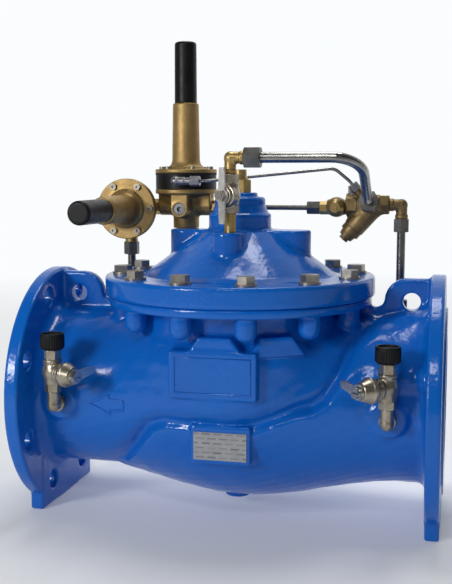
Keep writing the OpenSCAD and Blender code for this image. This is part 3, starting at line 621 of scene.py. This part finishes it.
def cover_boss(grid, turn, radius):
    """Flat-topped boss that runs inward to the tower."""
    out = grid[0] * math.cos(turn) + grid[1] * math.sin(turn)
    side = grid[1] * math.cos(turn) - grid[0] * math.sin(turn)
    wall = np.hypot(out - np.clip(out, 35, 63), side) - radius
    return rounded(wall, np.abs(grid[2] - 165) - 26, 2)


def casting_cover():
    """The cover: bolted rim, cone, four bosses and a stepped tower."""
    c = Casting((-COVER_R, -COVER_R, SPLIT_Z), (COVER_R, COVER_R, 234), 1.5)
    c.add(lambda g: rod(g, (0, 0, SPLIT_Z), Z, COVER_R, 23.5, 3.5))
    dome = [(0, SPLIT_Z + 2), (112, SPLIT_Z + 2), (111, COVER_TOP), (62, 175), (42, 189), (0, 189)]
    c.add(lambda g: lathe(g, (0, 0, 0), Z, dome, 1), (-120, -120, SPLIT_Z), (120, 120, 205), 5)
    for k, radius in enumerate((20.5, 20.5, 20.5, 18)):
        c.add(lambda g, k=k, radius=radius: cover_boss(g, math.radians(90 * k), radius),
              (-86, -86, COVER_TOP), (86, 86, 193), 4)
    c.add(lambda g: rod(g, (0, 0, 180), Z, 36.3, 30, 3), (-40, -40, 180), (40, 40, 212), 3)
    c.add(lambda g: cone(g, (0, 0, 206), Z, 35, 29.5, 12, 1.5), (-40, -40, 200), (40, 40, 220), 2)
    c.add(lambda g: rod(g, (0, 0, 200), Z, 29.5, 29, 4), (-40, -40, 200), (40, 40, 232), 3)
    c.add(lambda g: rod(g, (0, 0, 215), Z, 20.3, 19, 1.5), (-40, -40, 215), (40, 40, 236), 2)
    inside = [(0, -5), (126, -5), (126, 5), (106, 5), (106, 10), (56, 56), (12.5, 56), (12.5, 76),
              (12, 76), (12, 111), (0, 111)]
    c.cut(lambda g: lathe(g, (0, 0, SPLIT_Z), Z, inside), (-130, -130, SPLIT_Z - 2), (130, 130, 228))
    for a in BOLT_ANGLES:
        p = (BOLT_CIRCLE_R * math.cos(a), BOLT_CIRCLE_R * math.sin(a), SPLIT_Z - 5)
        c.cut(lambda g, p=p: rod(g, p, Z, 7, 50, 0), (p[0] - 8, p[1] - 8, SPLIT_Z - 2),
              (p[0] + 8, p[1] + 8, COVER_TOP + 2))
    c.cut(lambda g: rod(g, (CHAMBER_X, CHAMBER_Y, 130), Z, 6.8, 80, 0), (-8, -68, 130),
          (11, -48, 200), 1)
    return c


casting_cover().piece("cover_casting", MATERIALS["blue_epoxy"], "valve", ["cover"], "blue_epoxy")

# ---------------------------------------------------------------- gauge valves

SPINDLE_TURN = {"outlet": 61, "inlet": -45}


def level(turn):
    """Direction in the level plane, turned from the front."""
    a = math.radians(turn)
    return vector((math.sin(a), -math.cos(a), 0))


def gauge_body(side):
    """Ball valve body: hexagon ends, ball housing, spindle neck towards its lever."""
    x, d = GAUGE_X[side], level(SPINDLE_TURN[side])
    p = vector((x, GAUGE_Y, 35))
    c = Casting((x - 42, GAUGE_Y - 42, 12), (x + 42, GAUGE_Y + 16, 75), 0.6)
    c.add(lambda g: hexagon(g, (x, GAUGE_Y, 13), Z, 17, 10, 0.5, 20))
    c.add(lambda g: rod(g, (x, GAUGE_Y, 21), Z, 9.6, 28, 1.5))
    c.add(lambda g: ball(g, p, 11.2), blend=3)
    c.add(lambda g: rod(g, p, d, 9, 28, 0.5), blend=4)
    c.add(lambda g: rod(g, p + 11 * d, d, 11.2, 3.6, 1.2), blend=1.2)
    c.add(lambda g: rod(g, (x, GAUGE_Y, 46.5), Z, 10.2, 3.5, 1), blend=1)
    c.add(lambda g: hexagon(g, (x, GAUGE_Y, 49), Z, 16.5, 12, 0.4, 10), blend=0.5)
    c.add(lambda g: rod(g, (x, GAUGE_Y, 60), Z, 8, 14, 0.3))
    c.add(lambda g: rod(g, p + 20.5 * d, d, 13.8, 6.5, 2), blend=2.5)
    c.add(lambda g: cone(g, p + 26.5 * d, d, 12.8, 9.4, 10.3, 1.2), blend=0.8)
    c.cut(lambda g: rod(g, (x, GAUGE_Y, 10), Z, 3.4, 80, 0), blend=0.5)
    c.cut(lambda g: ball(g, p, 7.05))
    c.cut(lambda g: rod(g, p, d, 4.15, 40, 0), blend=0.5)
    return c


def gauge_elbow(side):
    """Elbow from the boss on the neck up to the ball valve."""
    x, p = GAUGE_X[side], (GAUGE_X[side], GAUGE_Y, GAUGE_Z)
    c = Casting((x - 10, GAUGE_Y - 8, -13), (x + 10, GAUGE_Y + 31, 14), 0.5)
    c.add(lambda g: rod(g, p, Z, 7, 16, 0.3))
    c.add(lambda g: ball(g, p, 7.3), blend=1)
    c.add(lambda g: rod(g, p, Y, 7, 9, 0.3), blend=2)
    c.add(lambda g: rod(g, (x, GAUGE_Y + 7, GAUGE_Z), Y, 9.2, 10, 1.2))
    c.add(lambda g: rod(g, p, Y, 6, 30, 0.3))
    c.cut(lambda g: rod(g, p, Z, 3, 20, 0))
    c.cut(lambda g: rod(g, p, Y, 3, 32, 0))
    return c


def ribbed_cap(side):
    """Black screw cap with thirty fine ribs."""
    x = GAUGE_X[side]
    c = Casting((x - 13.5, GAUGE_Y - 13.5, 61), (x + 13.5, GAUGE_Y + 13.5, 79), 0.4)
    profile = [(0, 61.3), (10.8, 61.3), (13, 63.6), (13, 78.7), (0, 78.7)]

    def skin(g):
        ribs = 0.28 * np.cos(30 * np.arctan2(g[1] - GAUGE_Y, g[0] - x))
        ribbed = np.clip(7 - np.abs(g[2] - 69), 0, 1)
        return lathe(g, (x, GAUGE_Y, 0), Z, profile, 0.3) - ribs * ribbed

    c.add(skin)
    c.cut(lambda g: rod(g, (x, GAUGE_Y, 55), Z, 8.3, 20, 0.5))
    c.cut(lambda g: rod(g, (x, GAUGE_Y, 77), Z, 10.5, 10, 0.5))
    return c


for side in GAUGE_X:
    gauge_body(side).piece(side + "_gauge_body", MATERIALS["nickel"], "valve", ["gauge_bodies"], "nickel")
    gauge_elbow(side).piece(side + "_gauge_elbow", MATERIALS["nickel"], "valve", ["gauge_elbows"], "nickel")
    ribbed_cap(side).piece(side + "_ribbed_cap", MATERIALS["black_plastic"], side + "_cap",
                           [side + "_gauge_cap"], "black_plastic")

# ---------------------------------------------------------------- pilots

SCREW_CIRCLE_R = 30.5


def screw_holes(c, p, d, low, high):
    """Six holes for a pilot's flange screws."""
    side = unit(np.cross(d, X))
    other = np.cross(d, side)
    for k in range(6):
        a = math.radians(60 * k)
        spot = p + low * d + SCREW_CIRCLE_R * (math.cos(a) * other + math.sin(a) * side)
        c.cut(lambda g, spot=spot: rod(g, spot, d, 2.65, high - low, 0), blend=0.4)


def spring_bonnet(p, d, flange_r):
    """A pilot's spring case: flange, tapered column, hollow for the spring and its adjusting screw."""
    reach = vector((40, 40, 40)) - 40 * np.abs(d)
    ends = np.array([p + 41 * d, p + 136 * d])
    c = Casting(ends.min(0) - reach, ends.max(0) + reach, 0.7)

    def column(g):
        h, s = along(g, p, d)
        return rounded((s - 17.3 + (h - 46) * 0.017), np.abs(h - 85) - 42, 2.5)

    c.add(lambda g: rod(g, p + 41.5 * d, d, flange_r, 5, 1))
    c.add(lambda g: rod(g, p + 46 * d, d, 22.5, 2.2, 1), blend=1)
    c.add(column, blend=11)
    c.add(lambda g: rod(g, p + 126 * d, d, 9, 9, 0.5))
    c.cut(lambda g: rod(g, p + 35 * d, d, 22.8, 9.3, 0))
    c.cut(lambda g: rod(g, p + 35 * d, d, 20, 12, 0))
    c.cut(lambda g: rod(g, p + 35 * d, d, 12, 82, 0))
    c.cut(lambda g: rod(g, p + 105 * d, d, 4.1, 40, 0), blend=0.4)
    screw_holes(c, p, d, 38, 62)
    return c


def pull_off_cap(p, d):
    """The long black cap over an adjusting screw."""
    reach = vector((14, 14, 14)) - 14 * np.abs(d)
    ends = np.array([p + 127 * d, p + 201 * d])
    c = Casting(ends.min(0) - reach, ends.max(0) + reach, 0.6)

    def skin(g):
        h, s = along(g, p, d)
        return np.maximum(rounded(s - 13.7 + (h - 127) * 0.0055, h - 200.5, 3.5), 127.3 - h)

    c.add(skin)
    c.cut(lambda g: rod(g, p + 120 * d, d, 9.3, 76.5, 1))
    return c


def pilot_casting():
    """The reducing pilot's brass body, upright."""
    p = PILOT
    c = Casting(p - vector((39, 39, 27)), p + vector((39, 39, 23)), 0.65)
    c.add(lambda g: rod(g, p - 26 * Z, Z, 16, 44, 1.5))
    c.add(lambda g: rod(g, p - 33 * X, X, 10.5, 66, 1.5), blend=4)
    c.add(lambda g: block(g, p + 8.5 * Z, (33, 10.5, 8.5), 1.5), blend=3)
    c.add(lambda g: rod(g, p - 2 * Z, -Y, 10.5, 33, 1), blend=3)
    c.add(lambda g: block(g, p + vector((0, -16.5, 7.5)), (10.5, 16.5, 9.5), 1), blend=1)
    c.add(lambda g: cone(g, p + 12 * Z, Z, 18, 30, 5, 0.5), blend=4)
    c.add(lambda g: rod(g, p + 16.5 * Z, Z, 38, 5.5, 1.2), blend=2)
    c.cut(lambda g: rod(g, p + 17 * Z, Z, 26, 8, 0))
    c.cut(lambda g: rod(g, p - 30 * Z, Z, 9, 31, 0), blend=0.5)
    c.cut(lambda g: rod(g, p - 5 * Z, Z, 5, 24, 0))
    c.cut(lambda g: rod(g, p + 6 * Z, Z, 9, 14, 0))
    c.cut(lambda g: rod(g, p + vector((-40, 0, -6)), X, 4, 40, 0), blend=0.5)
    c.cut(lambda g: rod(g, p + vector((0, 0, 10)), X, 4, 20, 0))
    c.cut(lambda g: rod(g, p + 18 * X, X, 4, 20, 0), blend=0.5)
    c.cut(lambda g: rod(g, p + vector((0, -24, -2)), -Y, 7, 12, 0), blend=1.2)
    screw_holes(c, p, Z, 10, 30)
    return c


def relief_casting():
    """The relief pilot's brass body, lying down, with its outlet over the branch pipe."""
    p, d = RELIEF, -Y
    c = Casting((-185, 17, 176), (-106, 80, 252), 0.7)
    c.add(lambda g: rod(g, p + 18 * Y, d, 17, 52, 2.5))
    c.add(lambda g: cone(g, p + 31.5 * d, d, 17, 30, 5, 0.5), blend=4)
    c.add(lambda g: rod(g, p + 36.5 * d, d, 36.5, 5, 1.2), blend=2)
    c.add(lambda g: rod(g, p + vector((8, 0, 1.5)), X, 11, 10, 1), blend=3)
    c.add(lambda g: rod(g, (BRANCH_X["outlet"], CIRCUIT_Y, 205.5), -Z, 8.5, 24.5, 1), blend=3)
    c.cut(lambda g: rod(g, p + 6 * d, d, 11.5, 40, 0))
    c.cut(lambda g: rod(g, p - 1 * d, d, 3, 8, 0))
    c.cut(lambda g: rod(g, p + 1.5 * Z, X, 4, 24, 0), blend=0.5)
    c.cut(lambda g: rod(g, (BRANCH_X["outlet"], CIRCUIT_Y, 211.5), -Z, 3.5, 36, 0), blend=0.5)
    screw_holes(c, p, d, 30, 50)
    return c


pilot_casting().piece("pilot_casting", MATERIALS["cast_brass"], "valve", ["pilot_body"], "cast_brass")
relief_casting().piece("relief_casting", MATERIALS["cast_brass"], "valve", ["relief_body"], "cast_brass")
for name, p, d, flange_r in (("pilot", PILOT, Z, 38), ("relief", RELIEF, -Y, 36.5)):
    spring_bonnet(p, d, flange_r).piece(name + "_spring_case", MATERIALS["cast_brass"], "valve",
                                        [name + "_bonnet"], "cast_brass")
    pull_off_cap(p, d).piece(name + "_pull_off_cap", MATERIALS["black_plastic"], name + "_cover",
                             [name + "_cap"], "black_plastic")

# ---------------------------------------------------------------- control pipework

CHAMBER = vector((CHAMBER_X, CHAMBER_Y, 231.5))
LEG = unit((-math.cos(math.radians(48)), 0, -math.sin(math.radians(48))))
PORT = unit((0, -math.cos(math.radians(10)), math.sin(math.radians(10))))
SENSE = unit((-math.cos(math.radians(50)), 0, math.sin(math.radians(50))))
SENSE_PORT = STRAINER + vector((-10, -12, 5))


def cast_elbow(p, d1, length1, d2, length2):
    """Brass elbow with a collar at each end."""
    ends = np.array([p, p + length1 * d1, p + length2 * d2])
    c = Casting(ends.min(0) - 9, ends.max(0) + 9, 0.5)
    for d, length in ((d1, length1), (d2, length2)):
        c.add(lambda g, d=d, length=length: rod(g, p, d, 6.6, length, 0.4), blend=2.5)
        c.add(lambda g, d=d, length=length: rod(g, p + (length - 5) * d, d, 7.6, 4.6, 0.8), blend=1)
    c.add(lambda g: ball(g, p, 7), blend=1)
    for d, length in ((d1, length1), (d2, length2)):
        c.cut(lambda g, d=d, length=length: rod(g, p, d, 3.6, length + 2, 0))
    return c


def strainer_casting():
    """Strainer body with its slanted leg and three side ports."""
    p = STRAINER
    c = Casting((106, 28, 178), (171, 74, 244), 0.6)
    c.add(lambda g: hexagon(g, p - 34 * X, X, 24, 13, 0.6, 0))
    c.add(lambda g: rod(g, p - 22 * X, X, 12, 28, 1), blend=1.5)
    c.add(lambda g: hexagon(g, p + 5 * X, X, 22, 12, 0.6, 30), blend=1)
    c.add(lambda g: rod(g, p, LEG, 13, 38, 1.2), blend=5)
    c.add(lambda g: rod(g, p - 26.8 * X, Z, 7, 12, 0.8), blend=1.5)
    c.add(lambda g: rod(g, p - 5 * X, PORT, 10, 20, 0.8), blend=3)
    c.add(lambda g: rod(g, SENSE_PORT, SENSE, 5, 15, 0.6), blend=2)
    c.cut(lambda g: rod(g, p - 36 * X, X, 5, 60, 0))
    c.cut(lambda g: rod(g, p, LEG, 9.5, 42, 0))
    c.cut(lambda g: rod(g, p - 5 * X, PORT, 6.1, 24, 0))
    c.cut(lambda g: rod(g, SENSE_PORT, SENSE, 2.1, 20, 0))
    c.cut(lambda g: rod(g, p - 26.8 * X, Z, 4.5, 16, 0))
    return c


def needle_casting():
    """Needle valve body, its screw to the front."""
    p = vector((105.5, CIRCUIT_Y, 216))
    c = Casting((93, 42, 203), (118, 72, 229), 0.5)
    c.add(lambda g: rod(g, p - 11.3 * X, X, 9, 22.8, 1))
    c.add(lambda g: ball(g, p, 12), blend=2)
    c.add(lambda g: rod(g, p + 10 * Y, -Y, 11.2, 24, 1.8), blend=1.5)
    c.cut(lambda g: rod(g, p - 14 * X, X, 3, 30, 0))
    c.cut(lambda g: rod(g, p, -Y, 6.05, 20, 0))
    return c


def chamber_casting():
    """The isolating ball valve over the cover, its spindle turned a little to the left."""
    p, d = CHAMBER, level(-20)
    c = Casting((-18, -76, 211), (15, -46, 256), 0.5)
    foot = vector((CHAMBER_X, CHAMBER_Y, 0))
    c.add(lambda g: hexagon(g, foot + 212 * Z, Z, 17, 10, 0.5, 10))
    c.add(lambda g: rod(g, foot + 221 * Z, Z, 9.8, 24, 1))
    c.add(lambda g: ball(g, p, 11.4), blend=2)
    c.add(lambda g: hexagon(g, foot + 244 * Z, Z, 17, 11, 0.5, 10), blend=0.6)
    c.add(lambda g: rod(g, p, d, 12.4, 11, 1.2), blend=2)
    c.add(lambda g: rod(g, p, d, 10, 15, 0.8), blend=0.6)
    c.cut(lambda g: rod(g, foot + 200 * Z, Z, 4.5, 60, 0))
    c.cut(lambda g: ball(g, p, 8.05))
    c.cut(lambda g: rod(g, p, d, 4.1, 30, 0))
    return c


def sensing_elbow():
    """Small fitting on the pilot's ring that takes the sensing tube."""
    p = SENSE_ELBOW
    c = Casting((-89, 5, 240), (-50, 27, 254), 0.4)
    c.add(lambda g: rod(g, p, Y, 5, 14, 0.4))
    c.add(lambda g: ball(g, p, 5.6), blend=1.5)
    c.add(lambda g: rod(g, p, X, 5, 12, 0.8), blend=1.5)
    c.add(lambda g: rod(g, p + 11 * X, X, 4.4, 8, 0.4))
    c.add(lambda g: hexagon(g, p + 18 * X, X, 11, 12.5, 0.4, 15))
    c.cut(lambda g: rod(g, p, Y, 2.6, 18, 0))
    c.cut(lambda g: rod(g, p, X, 2.05, 40, 0))
    return c


def sensing_nut():
    """Compression nut on the strainer's sensing port."""
    p = SENSE_PORT + 15 * SENSE
    c = Casting(p - 9, p + 14, 0.4)
    c.add(lambda g: hexagon(g, p, SENSE, 11, 10, 0.4))
    c.cut(lambda g: rod(g, p - 2 * SENSE, SENSE, 2.05, 16, 0))
    return c


cast_elbow(vector((CHAMBER_X, CHAMBER_Y, 273)), -Z, 18, X, 16).piece(
    "chamber_elbow", MATERIALS["machined_brass"], "valve", ["pipe_elbows"], "machined_brass")
cast_elbow(vector((BRANCH_X["inlet"], CIRCUIT_Y, 219)), -X, 14.5, -Z, 16.6).piece(
    "supply_elbow", MATERIALS["rough_brass"], "valve", ["pipe_elbows"], "machined_brass")
strainer_casting().piece("strainer_casting", MATERIALS["rough_brass"], "valve", ["strainer_body"],
                         "machined_brass")
needle_casting().piece("needle_casting", MATERIALS["rough_brass"], "valve", ["needle_valve_body"],
                       "machined_brass")
chamber_casting().piece("chamber_casting", MATERIALS["nickel"], "valve", ["chamber_valve_body"], "nickel")
sensing_elbow().piece("sensing_elbow", MATERIALS["grey_steel"], "valve", ["sensing_fittings"], "stainless")
sensing_nut().piece("sensing_nut", MATERIALS["grey_steel"], "valve", ["sensing_fittings"], "stainless")

# ---------------------------------------------------------------- springs and the main diaphragm

WIRE_SIDES = 10
STEPS_PER_TURN = 24


def coil(p, d, mean_r, wire_r, low, high, turns):
    """Points and faces of a round-wire spring about the line from p in direction d."""
    side = unit(np.cross(d, X))
    other = np.cross(d, side)
    steps = STEPS_PER_TURN * turns
    turn = np.linspace(0, 2 * math.pi * turns, steps + 1)[:, None]
    round_wire = np.linspace(0, 2 * math.pi, WIRE_SIDES, endpoint=False)[None, :]
    r = mean_r + wire_r * np.cos(round_wire)
    rise = (high - low - 2 * wire_r) * turn / turn[-1]
    h = low + wire_r + rise + wire_r * np.sin(round_wire)
    points = p + sum(part[..., None] * axis for part, axis in
                     ((r * np.cos(turn), other), (r * np.sin(turn), side), (h, d)))
    faces = [[i * WIRE_SIDES + j, (i + 1) * WIRE_SIDES + j,
              (i + 1) * WIRE_SIDES + (j + 1) % WIRE_SIDES, i * WIRE_SIDES + (j + 1) % WIRE_SIDES]
             for i in range(steps) for j in range(WIRE_SIDES)]
    ends = [list(range(WIRE_SIDES)), list(range(steps * WIRE_SIDES, (steps + 1) * WIRE_SIDES))]
    return points.reshape(-1, 3), faces + [ends[0], ends[1][::-1]]


def spring(name, node, p, d, size):
    """Part of a spring, a round-wire coil in the CAD piece's place. size is as in coil."""
    points, faces = coil(p, d, *size)
    mesh = bpy.data.meshes.new(name)
    mesh.from_pydata(((points + CENTRE_X * X) * MM).tolist(), [], faces)
    mesh.polygons.foreach_set("use_smooth", np.ones(len(mesh.polygons), bool))
    piece = finished(name, mesh, MATERIALS["spring_steel"], "valve", [node])
    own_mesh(piece)


def height_of(node, end):
    """Height of a CAD piece's lower end, 0, or upper end, 1."""
    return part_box(node)[end].z / MM


def main_diaphragm():
    """A rubber copy of the CAD diaphragm, in place of the CAD piece."""
    rubber = bpy.data.objects.new("rolling_diaphragm", nodes["main_diaphragm"].data.copy())
    bpy.context.scene.collection.objects.link(rubber)
    rubber.data.materials.clear()
    rubber.data.materials.append(MATERIALS["rubber"])
    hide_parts("main_diaphragm")
    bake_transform(rubber)


MAIN_LOW, MAIN_HIGH = (height_of("main_spring", end) for end in (0, 1))
PILOT_LOW, PILOT_HIGH = (height_of("pilot_spring", end) - PILOT[2] for end in (0, 1))
PILOT_MIDDLE = (PILOT_LOW + PILOT_HIGH) / 2
WIRE_R = 1.6

spring("main_coil", "main_spring", vector((0, 0, 0)), Z,
       (40, 4, MAIN_LOW, MAIN_HIGH, 5))
main_diaphragm()
for name, p, d, coil_r in (("pilot", PILOT, Z, 9.5), ("relief", RELIEF, -Y, 9)):
    spring(name + "_spring_low", name + "_spring", p, d,
           (coil_r, WIRE_R, PILOT_LOW, PILOT_MIDDLE, 4))
    spring(name + "_spring_high", name + "_spring", p, d,
           (coil_r, WIRE_R, PILOT_MIDDLE, PILOT_HIGH, 4))

# ---------------------------------------------------------------- CAD pieces that stay

slots = {row["node"]: row["material_slot"] for row in frame["record"]["subparts"]}
EDGE_MM = {"name_plate": 0.15}


def dress(name):
    """Gives a CAD piece its material and broken edges."""
    piece = nodes[name]
    piece.data.materials.clear()
    piece.data.materials.append(MATERIALS[FINISH_OF.get(name, slots[name])])
    piece.data.polygons.foreach_set("use_smooth", np.ones(len(piece.data.polygons), bool))
    edge = piece.modifiers.new("edges", "BEVEL")
    edge.width = EDGE_MM.get(name, 0.4) * MM
    edge.segments = 2
    edge.limit_method = "ANGLE"
    edge.angle_limit = math.radians(32)
    edge.harden_normals = True


for name, piece in nodes.items():
    if not piece.hide_render:
        dress(name)

# ---------------------------------------------------------------- stage, light and camera

BACKDROP = (0.07, 1.0)
FLOOR_GLOW = (0.12, 0.36)


def toward_back(tree, x, y):
    """0 in front of the object to 1 behind it, by direction, so that the backdrop is paler."""
    length = tree.nodes.new("ShaderNodeVectorMath")
    length.operation = "NORMALIZE"
    tree.links.new(x, length.inputs[0])
    split = tree.nodes.new("ShaderNodeSeparateXYZ")
    tree.links.new(length.outputs["Vector"], split.inputs[0])
    span = tree.nodes.new("ShaderNodeMapRange")
    span.inputs["From Min"].default_value = 0.1
    span.inputs["From Max"].default_value = 0.8
    span.inputs["To Min"].default_value = y[0]
    span.inputs["To Max"].default_value = y[1]
    tree.links.new(split.outputs["Y"], span.inputs["Value"])
    return span.outputs["Result"]


def stage_floor():
    """Pale paper with painted light: it glows, more behind the object than in front, and fades into the
    backdrop away from the object.
    """
    mesh = bpy.data.meshes.new("floor")
    half, level = 15.0, FEET_Z * MM
    corners = [(-half, -half, level), (half, -half, level), (half, half, level), (-half, half, level)]
    mesh.from_pydata(corners, [], [(0, 1, 2, 3)])
    floor = bpy.data.objects.new("floor", mesh)
    bpy.context.scene.collection.objects.link(floor)
    s = Shader("glowing_floor_paper", Roughness=0.8, Specular_IOR_Level=0.2)
    s.colour(s.noise(3, 2), [(0.3, (0.80, 0.81, 0.82)), (0.7, (0.82, 0.83, 0.84))])
    # Painted light: the paper's own glow, stronger behind the object than in front of it.
    s.surface.inputs["Emission Color"].default_value = (0.98, 0.99, 1, 1)
    s.link(toward_back(s.tree, s.place, FLOOR_GLOW), s.surface.inputs["Emission Strength"])
    glow = s.tree.nodes.new("ShaderNodeEmission")
    glow.inputs["Color"].default_value = (0.96, 0.98, 1, 1)
    s.link(toward_back(s.tree, s.place, (0.5, BACKDROP[1])), glow.inputs["Strength"])
    reach = s.tree.nodes.new("ShaderNodeVectorMath")
    reach.operation = "LENGTH"
    s.link(s.place, reach.inputs[0])
    fade = s.tree.nodes.new("ShaderNodeMapRange")
    fade.inputs["From Min"].default_value = 0.5
    fade.inputs["From Max"].default_value = 3.0
    s.link(reach.outputs["Value"], fade.inputs["Value"])
    mix = s.tree.nodes.new("ShaderNodeMixShader")
    s.link(fade.outputs["Result"], mix.inputs["Fac"])
    s.link(s.surface.outputs["BSDF"], mix.inputs[1])
    s.link(glow.outputs["Emission"], mix.inputs[2])
    s.link(mix.outputs["Shader"], s.tree.nodes["Material Output"].inputs["Surface"])
    mesh.materials.append(s.material)


def area_light(name, place, target, size, power):
    light = bpy.data.lights.new(name, "AREA")
    light.shape = "RECTANGLE"
    light.size, light.size_y = size
    light.energy = power
    lamp = bpy.data.objects.new(name, light)
    lamp.location = place
    lamp.rotation_euler = (Vector(target) - Vector(place)).to_track_quat("-Z", "Y").to_euler()
    bpy.context.scene.collection.objects.link(lamp)


def studio():
    """A pale backdrop and three soft lights."""
    world = bpy.data.worlds.new("studio")
    world.use_nodes = True
    tree = world.node_tree
    sky = tree.nodes["Background"]
    sky.inputs["Color"].default_value = (0.96, 0.98, 1, 1)
    direction = tree.nodes.new("ShaderNodeTexCoord").outputs["Generated"]
    tree.links.new(toward_back(tree, direction, BACKDROP), sky.inputs["Strength"])
    bpy.context.scene.world = world
    middle = (-0.24, 0, 0.1)
    area_light("key", (-1.28, -1.62, 0.64), middle, (0.4, 0.4), 15)
    area_light("over", (-0.2, 0.35, 1.9), middle, (0.6, 0.7), 12)
    area_light("front", (-0.25, -2.0, 1.6), middle, (0.6, 0.3), 7)


def camera():
    """The photo's own view, solved from the flanges' known sizes."""
    data = bpy.data.cameras.new("camera")
    data.sensor_width = 36
    data.lens = 60.33
    eye = bpy.data.objects.new("camera", data)
    eye.location = (0.0077, -1.119, 0.2512)
    eye.rotation_euler = (math.radians(90 - 6.67), 0, math.radians(13.31))
    bpy.context.scene.collection.objects.link(eye)
    bpy.context.scene.camera = eye


stage_floor()
studio()
camera()
bpy.context.scene.view_settings.view_transform = "Standard"
